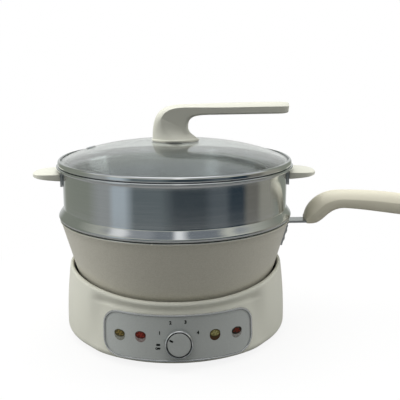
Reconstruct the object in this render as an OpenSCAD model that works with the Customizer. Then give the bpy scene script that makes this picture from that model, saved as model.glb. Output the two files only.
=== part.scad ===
// Electric wok: a heating base with a leaning control panel, a flared pot with one long
// handle, a stainless steamer ring with two ear handles, and a loose glass lid.
// Frame: origin under the pot's axis on the worktop, +Z up, +X along the long handle,
// -Y to the control panel. Millimetres.

/* [Base housing] */
// How far the housing's barrel wall stands inside the pot's rim
base_inset = 4.5; // [2.5:0.1:5.5]
// Wall thickness of the moulded housing
base_wall = 2.6; // [2:0.1:3.2]
// How far the barrel wall draws in over the reference height
wall_draw = 4.5; // [3:0.1:5.5]
// Radius of the housing's rounded lower edge
base_round = 7; // [4:0.5:9]
// Height of the housing's lower edge above the worktop
base_low_z = 4.4; // [3.5:0.1:4.8]
// Height of the rim at the two sides
rim_side_z = 87; // [82:0.5:92]
// Height of the rim at the front and the back
rim_front_z = 73.5; // [71:0.5:77]
// Gap between the rim's inner edge and the pot
rim_gap = 2.2; // [1.8:0.1:3]
// Depth of the rim's rolled lip
rim_lip = 4.5; // [4:0.1:6]
// How far the rim's outer edge above the panel stands inside the barrel wall
rim_front_inset = 5.7; // [4.5:0.1:7]

/* [Well and feet] */
// Gap between the pot and the well liner
well_gap = 5; // [4:0.1:6]
// Thickness of the well liner
liner_t = 1.8; // [1.2:0.1:2.2]
// Height of the bottom cover above the worktop
cover_z = 2.5; // [2:0.1:3]
// Thickness of the bottom cover
cover_t = 2.2; // [1.6:0.1:3]
// How far the bottom cover's lowered middle stands inside the barrel wall
cover_mid_inset = 45.5; // [42.5:0.5:51]
// Depth of the bottom cover's lowered middle
cover_step = 2.5; // [1.5:0.1:3]
// Radius of a rubber foot
foot_r = 9; // [7:0.5:11]
// How far the feet's middles stand inside the barrel wall
foot_inset = 29.5; // [25.5:0.5:31.5]
// Width of a vent slot in the bottom cover
vent_w = 3; // [2:0.1:4]
// Vent slots between two feet
vent_count = 6; // [3:1:8]

/* [Heating] */
// Height of the heating plate's top above the worktop
plate_z = 33; // [31:0.5:36]
// Thickness of the heating plate
plate_t = 9; // [7:0.5:10]
// How far the heating tube's ring stands inside the plate's edge
element_inset = 22; // [18:0.5:28]
// Radius of the heating tube
element_r = 3.3; // [2.5:0.1:4]
// Gap in the heating tube's ring, in degrees
element_gap = 40; // [30:1:60]
// Radius of the sensor cap in the middle of the plate
sensor_r = 13; // [11:0.5:15]
// Travel of the sprung sensor cap
sensor_travel = 3; // [2:0.1:4]
// Wire diameter of the sensor spring
spring_wire = 1.1; // [0.8:0.1:1.3]
// Turns of the sensor spring
spring_turns = 5; // [4:1:6]

/* [Control panel] */
// How far the panel's lower edge stands outside the barrel wall
panel_out = 2.5; // [1.5:0.1:3.5]
// Height of the panel's lower edge
panel_low_z = 11; // [10:0.5:12]
// Height of the panel measured straight up
panel_h = 47.5; // [45:0.5:49]
// Width of the panel measured straight across
panel_w = 166; // [150:1:169]
// Corner radius of the panel
panel_corner = 16; // [10:0.5:20]
// Lean of the panel from upright, in degrees
panel_tilt = 10; // [8:0.5:11]
// Thickness of the panel plate
panel_t = 2; // [1.5:0.1:2.4]
// Width of the bright frame round the panel
bezel_w = 1.5; // [1.2:0.1:2.5]
// How far the bright frame stands proud of the panel
bezel_proud = 1.1; // [0.6:0.1:1.5]
// Height of the knob's axis where it crosses the panel
knob_z = 30.5; // [29:0.5:34]
// Radius of the knob
knob_r = 15.5; // [13:0.1:16.5]
// Height of the knob above the panel
knob_h = 13; // [11:0.5:16]
// Radius of the switch shaft
shaft_r = 3; // [2.5:0.1:3.2]

/* [Mains inlet] */
// Height of the inlet's middle
inlet_z = 27; // [25:0.5:29]
// Width of the inlet's socket
inlet_w = 24; // [22:0.5:26]
// Height of the inlet's socket
inlet_h = 16.5; // [15:0.5:18]
// Depth of the inlet's socket
inlet_depth = 16; // [14:0.5:17]
// Wall of the inlet's moulding
inlet_wall = 1.8; // [1.4:0.1:2]

/* [Pot] */
// Radius of the pot's flared wall at its rim
pot_rim_r = 142; // [135:0.2:148]
// Height of the pot
pot_h = 110.4; // [106:0.2:118]
// Flare of the pot's wall from upright, in degrees
pot_flare = 15.8; // [15:0.1:17]
// Radius of the pot's rounded lower corner
pot_corner = 46; // [42:1:50]
// Thickness of the pot's wall
pot_t = 2.5; // [2:0.1:3]
// Thickness of the pot's rim bead outside the wall
pot_bead = 0.4; // [0.2:0.1:0.8]

/* [Pot handle] */
// Depth of the tang below the pot's rim
tang_drop = 11.5; // [10:0.1:13]
// Thickness of the handle bracket
tang_t = 2.7; // [2:0.1:3]
// Width of the tang
tang_w = 20; // [16:0.5:22]
// Length of the tang from the pot's rim radius
tang_l = 36; // [32:0.5:38]
// Width of the bracket's plate on the pot
bracket_w = 28; // [24:0.5:34]
// Height of the bracket's plate on the pot
bracket_h = 26; // [24:0.5:28]
// Radius of a rivet's head
rivet_r = 4; // [3:0.1:4.5]
// Height of a rivet's head
rivet_head = 4.2; // [1.6:0.1:5]
// Length of the grip
grip_l = 172; // [150:1:190]
// Depth of the grip at its crown
grip_t = 21.5; // [18:0.5:24]
// Width of the grip
grip_w = 30; // [26:0.5:34]
// Rise of the grip above its front end
grip_rise = 18.5; // [14:0.5:24]
// Distance from the pot's rim radius to the grip
grip_start = 22; // [19:0.5:25]

/* [Steamer] */
// How far the steamer's wall stands inside the pot's rim
steamer_inset = 4.5; // [4:0.1:5.5]
// Height of the steamer from its seat on the pot to its rim
steamer_h = 64.5; // [56:0.5:76]
// Thickness of the steamer's sheet
steamer_t = 1; // [0.8:0.1:1.2]
// How far the seat bead stands outside the pot's rim
bead_over = 1.6; // [1:0.1:2.2]
// Height of the seat bead's blend into the wall
bead_h = 18.5; // [16:0.5:22]
// Height of the seat bead's rounded lower edge
bead_round = 4.5; // [3.5:0.5:7]
// Depth of the spigot that sits inside the pot
spigot_h = 16; // [14:0.5:18]
// Gap between the spigot and the pot
spigot_gap = 2.4; // [1.6:0.1:3]
// Bend radius of the steamer's rim
rim_bend = 6; // [5:0.1:6.5]
// Radius of a steam hole
hole_r = 3.5; // [2.5:0.1:4]
// Steam hole rings
hole_rings = 4; // [3:1:4]

/* [Steamer ears] */
// Reach of an ear past the steamer's wall
ear_l = 36; // [30:0.5:42]
// Width of an ear at its root
ear_w = 56; // [46:0.5:62]
// Thickness of an ear at its root
ear_t = 12; // [9:0.5:13]
// Height of an ear's middle below the steamer's rim
ear_drop = 13; // [12.5:0.5:16]
// Thickness of an ear's steel bracket
ear_plate_t = 2.8; // [2:0.1:3.5]
// How far an ear's steel bracket shows below the ear
ear_plate_drop = 8; // [4:0.5:12]

/* [Lid] */
// How far the lid's steel band stands outside the steamer's wall
band_over = 5.3; // [4.5:0.1:5.7]
// Height of the lid's steel band
band_h = 6.6; // [6.2:0.1:8]
// Sheet thickness of the lid's steel band
band_t = 0.8; // [0.6:0.1:1]
// Depth of the band's spigot inside the steamer
lid_spigot_h = 5; // [4:0.5:6]
// Thickness of the glass
glass_t = 3.6; // [3:0.1:4]
// Rise of the glass dome
dome_h = 20.5; // [17:0.5:26]
// Fullness of the dome's shoulder
dome_full = 2.8; // [2:0.1:3.2]
// How far the steam vent stands inside the lid's band
vent_inset = 36.8; // [30:0.2:46]
// Direction of the steam vent, in degrees from the long handle
vent_angle = 170; // [120:1:200]
// Radius of the steam vent's bore
vent_r = 2.5; // [2:0.1:3]

/* [Lid handle] */
// Height of the lid handle above its gasket
handle_h = 47; // [42:0.5:52]
// Length of the lid handle's foot
handle_foot_l = 58; // [52:0.5:64]
// Width of the lid handle's foot
handle_foot_w = 38; // [34:0.5:44]
// Reach of the lid handle's arm past the axis
handle_reach = 139; // [124:1:142]
// Width of the lid handle's arm
handle_arm_w = 24; // [20:0.5:26]
// Depth of the lid handle's arm at its crown
handle_arm_t = 15; // [12:0.5:16]
// Thickness of the gasket under the lid handle
gasket_t = 0.6; // [0.4:0.1:1.2]

/* [Fits] */
// Gap between a lifted-off piece and its seat
seat_gap = 0.3; // [0.2:0.05:0.5]
// Gap between fixed pieces that are assembled loose
loose_gap = 0.3; // [0.2:0.05:0.4]
// Radial running clearance of the shaft and the sensor stem
run_gap = 0.05; // [0.02:0.01:0.1]

/* [Hidden] */
$fn = 72;

// Segments round a lofted ring, and points along a profile's arc
ring_steps = 96;
arc_steps = 8;

// Colours of the object
ivory = "#dcdccf";
champagne = "#9a978a";
steel = "#aab0b4";
chrome = "#d6d9dc";
panel_grey = "#90908d";
black = "#1c1c1e";
rubber = "#2b2b2c";
aluminium = "#b9bbbd";
brass = "#c2a14d";
glass = "#b7c4c280";
red_lead = "#9a2f2a";
blue_lead = "#2f4a86";

// Heights of the stack, each piece seated on the one below it
pot_z = plate_z + seat_gap;
pot_rim_z = pot_z + pot_h;
steamer_z = pot_rim_z + seat_gap;
steamer_top = steamer_z + steamer_h;
lid_z = steamer_top + seat_gap;

// Pot
pot_arc_z = pot_z + pot_corner;
function pot_r(z) = pot_rim_r - (pot_rim_z - z) * tan(pot_flare);
pot_floor_r = pot_r(pot_arc_z) - pot_corner / cos(pot_flare);
pot_bead_h = 2.6;
pot_inset = pot_t / cos(pot_flare);

// Base housing
base_r = pot_rim_r - base_inset;
rim_front_r = base_r - rim_front_inset;
panel_low_r = base_r + panel_out;
wall_span = 68;
wall_low_z = base_low_z + base_round;
pad_half_angle = asin((panel_w / 2 + bezel_w) / panel_low_r) + 2;
pad_blend_angle = 11;
pad_proud = 0.3;
panel_high_z = panel_low_z + panel_h;
panel_mid_z = panel_low_z + panel_h / 2;
pad_top_z = panel_high_z + bezel_w + 1;
pad_shoulder = 4.5;
groove_d = 1.1;
rim_round = 3;
rim_swell = 1.3;
liner_tuck = 1.5;

// Bottom cover and feet
cover_ring_z = cover_z + cover_step;
cover_top = cover_z + cover_t;
cover_r = base_r - base_round - 0.4;
cover_mid_r = base_r - cover_mid_inset;
foot_ring_r = base_r - foot_inset;
foot_angles = [225, 315, 135, 45];
foot_stem_r = 3.4;
foot_head_r = 4.6;
screw_r = 1.5;
screw_head_r = 3;
screw_head_h = 1.8;

// Heating
plate_r = pot_floor_r - 1.5;
plate_low = plate_z - plate_t;
plate_hole_r = sensor_r + 2;
element_ring_r = plate_r - element_inset;
stand_t = 2;
stand_out_r = plate_r - 1;
stand_in_r = element_ring_r + element_r + 1.5;
stand_leg_r = 4.2;
stand_ring_r = (stand_out_r + stand_in_r) / 2;
element_pin_l = 7;
element_pin_r = 2;
sensor_top_t = 1.4;
sensor_skirt = 6;
stem_r = 3;
collar_r = sensor_r - 3;
collar_t = 1.5;
collar_z = plate_z - 17.5;
guide_r = 5.5;
spring_low = collar_z + loose_gap + spring_wire / 2;
spring_high = plate_z - sensor_top_t - loose_gap - spring_wire / 2;
spring_mean_r = (stem_r + sensor_r) / 2;
spring_pitch = (spring_high - spring_low) / spring_turns;
fuse_r = 2.1;
fuse_l = 14;
fuse_x = (plate_hole_r + element_ring_r - element_r) / 2;
lead_r = 1.3;

// Control panel and switch, measured along the knob's axis from the panel's face
function face_r(z) = panel_low_r - (z - panel_low_z) * tan(panel_tilt);
pocket_d = panel_t + 0.2;
switch_front = -(pocket_d + base_wall + 1.2);
switch_l = 15;
switch_r = 14;
bush_r = 4.5;
bush_out = 4;
nut_t = 2.4;
nut_r = 7.2;
knob_gap = 0.8;
knob_skirt_r = nut_r + 1.2;
knob_skirt_h = 4.6;
cap_r = knob_r - 1.6;
cap_t = 1.4;
tab_w = 5;
tab_t = 1;
tab_x = 7;
lead_ring_r = base_r - 32.5;
lead_z = inlet_z - 1;

// Mains inlet, measured from the axis along the back
inlet_face = base_r + 1.5;
inlet_body_l = inlet_depth + 5;
flange_w = inlet_w + 26;
flange_h = inlet_h + 7.5;
flange_t = 1.6;
inlet_screw_x = inlet_w / 2 + 8;
pin_pitch = 7;
pin_tip = inlet_face - 3;

// Pot handle
tang_z = pot_rim_z - tang_drop;
bend_r = 4;
strip_off = loose_gap + tang_t / 2;
rivet_drops = [12.5, 22.5];
grip_x = pot_rim_r + grip_start;
grip_low = tang_z - tang_t / 2;
screw_x = pot_rim_r + tang_l - 8;

// Steamer
steamer_r = pot_rim_r - steamer_inset;
bead_r = pot_rim_r + bead_over;
bead_tuck = 3.5;
spigot_r = pot_r(steamer_z - spigot_h) - pot_inset - spigot_gap;
floor_z = steamer_z - spigot_h;
floor_lip = 5;
floor_t = 1;
steamer_mid_r = steamer_r - steamer_t / 2;
steamer_in_r = steamer_r - steamer_t;
rim_mid_z = steamer_top - steamer_t / 2 - rim_bend;
ear_z = steamer_top - ear_drop;
ear_root = steamer_r + loose_gap + ear_plate_t + loose_gap;
ear_plate_w = ear_w - 6;
ear_plate_h = 2 * (ear_drop - rim_bend - steamer_t - 1) + ear_plate_drop;
ear_screw_y = ear_w / 4;

// Lid
band_r = steamer_r + band_over;
vent_ring_r = band_r - vent_inset;
lid_spigot_r = steamer_in_r - 0.9;
glass_r = band_r - band_t - loose_gap;
glass_edge_z = lid_z + band_h / 2;
dome_r = glass_r - 3.5;
glass_top = glass_edge_z + dome_h + glass_t / 2;
glass_hole_r = 4;
function dome_z(r) = glass_edge_z + dome_h * (1 - pow(r / dome_r, dome_full));
function dome_lean(r) = atan(dome_h * dome_full / dome_r * pow(r / dome_r, dome_full - 1));
foot_z = glass_top + gasket_t;
handle_top = foot_z + handle_h;
washer_r = 12;
washer_t = 1.5;
lid_screw_r = 2.5;
lid_screw_l = 16;

// Helpers

function mix(a, b, t) = a + (b - a) * t;

function smooth(t) = let (u = min(max(t, 0), 1)) u * u * (3 - 2 * u);

// Points on an arc of radius r round c, from angle a0 to a1
function arc(c, r, a0, a1, n = arc_steps) =
    [for (i = [0:n]) let (a = mix(a0, a1, i / n)) c + r * [cos(a), sin(a)]];

// Point on a cubic curve through four control points
function bezier(p, t) = let (s = 1 - t)
    s * s * s * p[0] + 3 * s * s * t * p[1] + 3 * s * t * t * p[2] + t * t * t * p[3];

// Unit normal on the left of a path at point i
function left_of(path, i) =
    let (d = path[min(i + 1, len(path) - 1)] - path[max(i - 1, 0)]) [-d[1], d[0]] / norm(d);

// Outline of a sheet of thickness t along a centre line
function sheet(path, t) = concat(
    [for (i = [0:len(path) - 1]) path[i] + left_of(path, i) * t / 2],
    [for (i = [len(path) - 1:-1:0]) path[i] - left_of(path, i) * t / 2]);

// Outline of a rectangle with round corners, centred
function rounded(w, h, r, n = arc_steps) = concat(
    arc([w / 2 - r, h / 2 - r], r, 0, 90, n), arc([r - w / 2, h / 2 - r], r, 90, 180, n),
    arc([r - w / 2, r - h / 2], r, 180, 270, n), arc([w / 2 - r, r - h / 2], r, 270, 360, n));

// Closed ring round Z whose [radius, height] outline changes with the angle from the front
module loft_ring(sections) {
    n = len(sections);
    m = len(sections[0]);
    points = [for (i = [0:n - 1]) let (a = i * 360 / n)
        for (p = sections[i]) [p[0] * sin(a), -p[0] * cos(a), p[1]]];
    faces = [for (i = [0:n - 1], j = [0:m - 1]) let (
        i2 = (i + 1) % n, j2 = (j + 1) % m, a = i * m + j, b = i * m + j2, c = i2 * m + j2, d = i2 * m + j)
        each [[a, b, c], [a, c, d]]];
    polyhedron(points, faces, convexity = 6);
}

// Solid through a row of closed outlines, closed flat at both ends
module skin(outlines) {
    n = len(outlines);
    m = len(outlines[0]);
    last = (n - 1) * m;
    sides = [for (i = [0:n - 2], j = [0:m - 1]) let (
        j2 = (j + 1) % m, a = i * m + j, b = i * m + j2, c = a + m, d = b + m)
        each [[a, d, b], [a, c, d]]];
    start = [for (j = [1:m - 2]) [0, j, j + 1]];
    end = [for (j = [1:m - 2]) [last, last + j + 1, last + j]];
    polyhedron([for (o = outlines) each o], concat(sides, start, end), convexity = 6);
}

// Grip section between an outer and an inner edge point in the XZ plane: flat flanks, a crown
// on the outer edge and rounded corners on the inner one, or a plain oval as toe goes to 1
function grip_section(outer, inner, w, flank, power, toe = 0) =
    let (c = (outer + inner) / 2, e = (outer - inner) / 2,
        crown = [for (i = [0:10]) let (s = 1 - i / 5)
            [s, mix(flank + (1 - flank) * (1 - pow(abs(s), power)), sqrt(1 - s * s), toe)]],
        base = [[-1, -0.62], [-0.95, -0.85], [-0.8, -0.97], [-0.4, -1], [0.4, -1],
            [0.8, -0.97], [0.95, -0.85], [1, -0.62]],
        round_base = [for (i = [0:7]) let (a = 190 + i * 160 / 7) mix(base[i], [cos(a), sin(a)], toe)])
    [for (p = concat(crown, round_base)) let (q = c + e * p[1]) [q[0], p[0] * w / 2, q[1]]];

// Places a child drawn along +Z onto the knob's axis, at the panel's face
module on_panel() {
    translate([0, -face_r(knob_z), knob_z]) rotate([90 - panel_tilt, 0, 0]) children();
}

// Places a child drawn along +Z at the back, measured from the axis
module at_back() {
    translate([0, 0, inlet_z]) rotate([90, 0, 180]) children();
}

// Straight round bar from p to q
module bar(p, q, r) {
    d = q - p;
    translate(p) rotate([0, acos(d[2] / norm(d)), atan2(d[1], d[0])]) cylinder(h = norm(d), r = r);
}

// Base housing

function from_front(a) = abs(a > 180 ? a - 360 : a);

function rim_z(a) = mix(rim_front_z, rim_side_z, pow(sin(a) * sin(a), rim_swell));

function rim_in_r(a) = pot_r(rim_z(a)) + rim_gap;

function pad_share(a) = 1 - smooth((from_front(a) - pad_half_angle) / pad_blend_angle);

function wall_r(z) = base_r - wall_draw * pow(max(z - wall_low_z, 0) / wall_span, 2);

function pad_r(z) = face_r(z) + pad_proud - groove_d * smooth((z - pad_top_z) / pad_shoulder);

function outer_r(a, z) = mix(wall_r(z), pad_r(z), pad_share(a));

function wall_at(a, z) = base_wall + pad_share(a) * panel_t * (1 - smooth((z - pad_top_z) / pad_shoulder));

function shell_section(a) = let (
    rim = rim_z(a), in_r = rim_in_r(a), low_r = outer_r(a, wall_low_z),
    edge_r = mix(wall_r(rim - rim_round), rim_front_r, pad_share(a)),
    bead_c = [(edge_r + in_r) / 2, rim - rim_round], bead_a = (edge_r - in_r) / 2,
    neck = rim - rim_lip, groove_z = pad_top_z + pad_shoulder,
    up = [for (s = [0.12, 0.34, 0.56, 0.78, 1]) mix(wall_low_z, pad_top_z, s)],
    shoulder = [for (s = [0.35, 0.7, 1]) mix(pad_top_z, groove_z, s)],
    down = [for (s = [1, 0.75, 0.5, 0.25, 0]) mix(wall_low_z, pad_top_z, s)]) concat(
    arc([low_r - base_round, wall_low_z], base_round, -90, 0, 4),
    [for (z = up) [outer_r(a, z), z]],
    [for (z = shoulder) [outer_r(a, z), z]],
    [[mix(outer_r(a, groove_z), edge_r, 0.5), mix(groove_z, rim - rim_round, 0.6)]],
    [for (t = [0:36:180]) bead_c + [bead_a * cos(t), rim_round * sin(t)]],
    [[in_r, neck], [outer_r(a, groove_z) - wall_at(a, neck), neck]],
    [for (z = down) [outer_r(a, z) - wall_at(a, z), z]],
    [[low_r - base_round, base_low_z + base_wall]]);

// A slice of the leaning panel's cone, between two lifts off its face, with a rounded outline
module panel_slice(grow, lift0, lift1) {
    z0 = panel_low_z - 8;
    z1 = panel_high_z + 8;
    intersection() {
        rotate_extrude() polygon([[face_r(z0) + lift0, z0], [face_r(z0) + lift1, z0],
            [face_r(z1) + lift1, z1], [face_r(z1) + lift0, z1]]);
        panel_prism(grow);
    }
}

module panel_prism(grow) {
    translate([0, 0, panel_mid_z]) rotate([90, 0, 0]) translate([0, 0, base_r / 2]) linear_extrude(base_r)
        polygon(rounded(panel_w + 2 * grow, panel_h + 2 * grow, panel_corner + grow));
}

module inlet_screw_axis(side) {
    translate([0, 0, inlet_z]) rotate([0, 90, 90 + side * asin(inlet_screw_x / base_r)]) children();
}

module base_shell() {
    color(ivory) difference() {
        loft_ring([for (i = [0:ring_steps - 1]) shell_section(i * 360 / ring_steps)]);
        panel_slice(bezel_w + 0.2, -pocket_d, 20);
        on_panel() translate([0, 0, -30]) cylinder(h = 40, r = bush_r + 0.4);
        at_back() translate([0, 0, base_r - 25]) linear_extrude(40)
            square([inlet_w, inlet_h] + 2 * (inlet_wall + loose_gap) * [1, 1], center = true);
        for (side = [-1, 1])
            inlet_screw_axis(side) translate([0, 0, base_r - 20]) cylinder(h = 40, r = screw_r + 0.15);
    }
}

// The liner follows the pot at an even gap and ends under the rim's lip
function liner_section(a) = let (
    c = [pot_floor_r, pot_arc_z], r0 = pot_corner + well_gap, r1 = r0 + liner_t,
    top = rim_z(a) - rim_lip - loose_gap, in_r = rim_in_r(a) - liner_tuck, hole_r = plate_r + 1.5) concat(
    [[hole_r, c[1] - r1]], arc(c, r1, -84, -pot_flare - 4, 6), [[in_r + liner_t, top], [in_r, top]],
    arc(c, r0, -pot_flare - 4, -84, 6), [[hole_r, c[1] - r0]]);

module well_liner() {
    color(black) loft_ring([for (i = [0:ring_steps - 1]) liner_section(i * 360 / ring_steps)]);
}

module at_legs() {
    for (a = [45:90:315]) rotate(a) translate([stand_ring_r, 0, 0]) children();
}

module bottom_cover() {
    slot_l = cover_r - cover_mid_r - 12;
    color(black) difference() {
        union() {
            translate([0, 0, cover_ring_z]) cylinder(h = cover_t, r = cover_r);
            translate([0, 0, cover_z]) cylinder(h = cover_step + cover_t, r = cover_mid_r);
        }
        translate([0, 0, cover_top]) cylinder(h = 20, r = cover_mid_r - cover_t);
        for (a = foot_angles)
            rotate(a) translate([foot_ring_r, 0, 0]) cylinder(h = 30, r = foot_stem_r + 0.1);
        at_legs() {
            cylinder(h = 30, r = screw_r + 0.2);
            cylinder(h = cover_z + screw_head_h - 0.4, r = screw_head_r + 0.3);
        }
        for (q = [0:90:270], i = [0:vent_count - 1])
            rotate(q + (i - (vent_count - 1) / 2) * 52 / vent_count)
                translate([(cover_r + cover_mid_r) / 2, 0, 0]) linear_extrude(30)
                    polygon(rounded(slot_l, vent_w, vent_w / 2 - 0.05, 4));
    }
}

// Push-in rubber foot: pad, stem through the cover and a head above it
module foot(i) {
    color(rubber) rotate(foot_angles[i]) translate([foot_ring_r, 0, 0]) {
        cylinder(h = 1, r1 = foot_r - 1, r2 = foot_r);
        translate([0, 0, 1]) cylinder(h = cover_ring_z - 1, r = foot_r);
        cylinder(h = cover_ring_z + cover_t, r = foot_stem_r);
        translate([0, 0, cover_ring_z + cover_t]) cylinder(h = 1.6, r = foot_head_r);
    }
}

// Heating

module heating_plate() {
    color(aluminium) difference() {
        translate([0, 0, plate_low]) rotate_extrude() polygon([[plate_hole_r, 0], [plate_r, 0],
            [plate_r, plate_t - 1], [plate_r - 1, plate_t], [plate_hole_r, plate_t]]);
        translate([0, 0, plate_low]) rotate_extrude()
            translate([element_ring_r, 0]) circle(element_r + 0.1);
    }
}

// Heating tube, half sunk in the plate, with its two cold pins at the front
module heating_element() {
    sweep = 360 - element_gap;
    color(steel) translate([0, 0, plate_low]) {
        rotate(270 + element_gap / 2) rotate_extrude(angle = sweep)
            translate([element_ring_r, 0]) circle(element_r);
        for (side = [-1, 1]) rotate(270 + side * (element_gap / 2 + 3))
            translate([element_ring_r, 0, -element_r - element_pin_l])
                cylinder(h = element_pin_l + element_r, r = element_pin_r);
    }
}

// Pressed ring under the plate on four tapped legs that stand on the bottom cover
module plate_stand() {
    color(steel) difference() {
        union() {
            translate([0, 0, plate_low - stand_t]) rotate_extrude()
                translate([stand_in_r, 0]) square([stand_out_r - stand_in_r, stand_t]);
            at_legs() translate([0, 0, cover_top])
                cylinder(h = plate_low - stand_t - cover_top, r = stand_leg_r);
        }
        at_legs() translate([0, 0, cover_top - 1]) cylinder(h = 11, r = screw_r + 0.05);
    }
}

// Post on the bottom cover that guides the sensor's stem and carries its spring
module sensor_guide() {
    color(steel) translate([0, 0, cover_top]) difference() {
        union() {
            cylinder(h = 2, r = collar_r + 5);
            cylinder(h = collar_z - cover_top, r = guide_r);
            translate([0, 0, collar_z - cover_top - collar_t]) cylinder(h = collar_t, r = collar_r);
        }
        translate([0, 0, 0.6]) cylinder(h = 40, r = stem_r + run_gap);
    }
}

module sensor_cap() {
    color(aluminium) {
        difference() {
            translate([0, 0, plate_z - sensor_skirt]) cylinder(h = sensor_skirt, r = sensor_r);
            translate([0, 0, plate_z - sensor_skirt - 1])
                cylinder(h = sensor_skirt + 1 - sensor_top_t, r = sensor_r - sensor_top_t);
        }
        translate([0, 0, cover_top + 1.2 + sensor_travel])
            cylinder(h = plate_z - sensor_top_t - cover_top - 1.2 - sensor_travel + 0.5, r = stem_r);
    }
}

// Helical spring between the guide's collar and the cap
module sensor_spring() {
    rings = 12 * spring_turns;
    slope = atan(spring_pitch / (2 * PI * spring_mean_r));
    color(steel) skin([for (i = [0:rings]) let (a = i * 30, z = mix(spring_low, spring_high, i / rings),
        u = [cos(a), sin(a), 0], v = [sin(a) * sin(slope), -cos(a) * sin(slope), cos(slope)])
        [for (k = [0:60:300]) spring_mean_r * u + [0, 0, z] + spring_wire / 2 * (u * cos(k) + v * sin(k))]]);
}

// Thermal fuse lying under the plate
module thermal_fuse() {
    color(chrome) translate([fuse_x, 0, plate_low - fuse_r - loose_gap]) rotate([90, 0, 0])
        cylinder(h = fuse_l, r = fuse_r, center = true);
}

// Spring clip over the fuse, with two ears against the plate
module fuse_clip() {
    r = fuse_r + 0.1;
    color(steel) translate([fuse_x, 0, plate_low]) rotate([90, 0, 0]) linear_extrude(7, center = true)
        polygon(sheet(concat([[-r - 4, -0.45], [-r - 1.2, -0.45]],
            arc([0, -fuse_r - loose_gap], r + 0.45, 180, 360), [[r + 1.2, -0.45], [r + 4, -0.45]]), 0.8));
}

// Control panel and switch

module control_panel() {
    color(panel_grey) difference() {
        panel_slice(-0.1, -panel_t, 0);
        on_panel() translate([0, 0, -30]) cylinder(h = 40, r = bush_r + 0.3);
    }
}

module panel_bezel() {
    color(chrome) difference() {
        panel_slice(bezel_w, -panel_t, bezel_proud);
        panel_prism(0);
    }
}

module switch_body() {
    color(black) on_panel() difference() {
        union() {
            translate([0, 0, switch_front - switch_l]) cylinder(h = switch_l, r = switch_r);
            translate([0, 0, switch_front - 1]) cylinder(h = bush_out - switch_front + 1, r = bush_r);
            for (side = [-1, 1])
                translate([side * tab_x - tab_t / 2, -tab_w / 2, switch_front - switch_l - 6])
                    cube([tab_t, tab_w, 8]);
        }
        translate([0, 0, switch_front - switch_l + 3]) cylinder(h = 60, r = shaft_r + run_gap);
    }
}

module switch_nut() {
    color(brass) on_panel() difference() {
        cylinder(h = nut_t, r = nut_r, $fn = 6);
        translate([0, 0, -1]) cylinder(h = nut_t + 2, r = bush_r + 0.05);
    }
}

module switch_shaft() {
    low = switch_front - switch_l + 3.5;
    color(steel) on_panel() translate([0, 0, low]) cylinder(h = knob_h - 3 - low, r = shaft_r);
}

// Knob: a bright skirted body with a sunk front, and the grey cap set into it
module knob_body() {
    front = knob_h - cap_t;
    color(chrome) on_panel() difference() {
        translate([0, 0, knob_gap]) rotate_extrude() polygon(concat([[0, 0], [knob_r, 0]],
            arc([knob_r - 1.2, knob_h - knob_gap - 1], 1, 0, 90, 4), [[0, knob_h - knob_gap]]));
        translate([0, 0, knob_gap - 1]) cylinder(h = knob_skirt_h, r = knob_skirt_r);
        translate([0, 0, -1]) cylinder(h = knob_h - 2, r = shaft_r + 0.02);
        translate([0, 0, front]) cylinder(h = 10, r = cap_r);
    }
}

module knob_cap() {
    color(panel_grey) on_panel() translate([0, 0, knob_h - cap_t]) rotate_extrude()
        polygon([[0, 0], [cap_r - 0.4, 0], [cap_r - 0.4, cap_t - 0.4], [cap_r - 0.8, cap_t], [0, cap_t]]);
}

// Mains inlet at the back

module mains_inlet() {
    color(black) difference() {
        union() {
            at_back() translate([0, 0, inlet_face - inlet_body_l]) linear_extrude(inlet_body_l)
                square([inlet_w + 2 * inlet_wall, inlet_h + 2 * inlet_wall], center = true);
            intersection() {
                at_back() translate([0, 0, base_r / 2]) linear_extrude(base_r)
                    polygon(rounded(flange_w, flange_h, 5));
                rotate_extrude() polygon(concat(
                    [for (s = [-20:10:20]) [wall_r(inlet_z + s) + 0.1, inlet_z + s]],
                    [for (s = [20:-10:-20]) [wall_r(inlet_z + s) + flange_t, inlet_z + s]]));
            }
        }
        at_back() translate([0, 0, inlet_face - inlet_depth]) linear_extrude(40)
            square([inlet_w, inlet_h], center = true);
        inlet_pin_solids();
        for (side = [-1, 1])
            inlet_screw_axis(side) translate([0, 0, base_r - 10]) cylinder(h = 30, r = screw_r + 0.1);
    }
}

// Three blades: two in line and the earth blade above them, each with a tab inside the base
module inlet_pin_solids() {
    root = lead_ring_r - lead_r;
    for (i = [-1, 0, 1]) at_back() translate([i * pin_pitch, i == 0 ? 2 : -2, root])
        linear_extrude(pin_tip - root) square([2, 4], center = true);
}

module inlet_pins() {
    color(brass) inlet_pin_solids();
}

module inlet_screws() {
    seat = wall_r(inlet_z) + flange_t;
    root = base_r - base_wall - 4;
    color(steel) for (side = [-1, 1]) inlet_screw_axis(side) {
        translate([0, 0, seat + 0.1]) cylinder(h = screw_head_h, r1 = screw_head_r, r2 = screw_head_r - 1);
        translate([0, 0, root]) cylinder(h = seat + 0.2 - root, r = screw_r);
    }
}

// Wiring: two supply leads round the base and two short leads to the heating tube

module supply_leads() {
    start = asin((pin_pitch + 1 + lead_r + loose_gap) / lead_ring_r);
    end = asin((tab_x + tab_t / 2 + lead_r + loose_gap) / lead_ring_r);
    translate([0, 0, lead_z]) {
        color(red_lead) rotate(90 + start) rotate_extrude(angle = 180 - start - end)
            translate([lead_ring_r, 0]) circle(lead_r);
        color(blue_lead) rotate(270 + end) rotate_extrude(angle = 180 - start - end)
            translate([lead_ring_r, 0]) circle(lead_r);
    }
}

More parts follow.
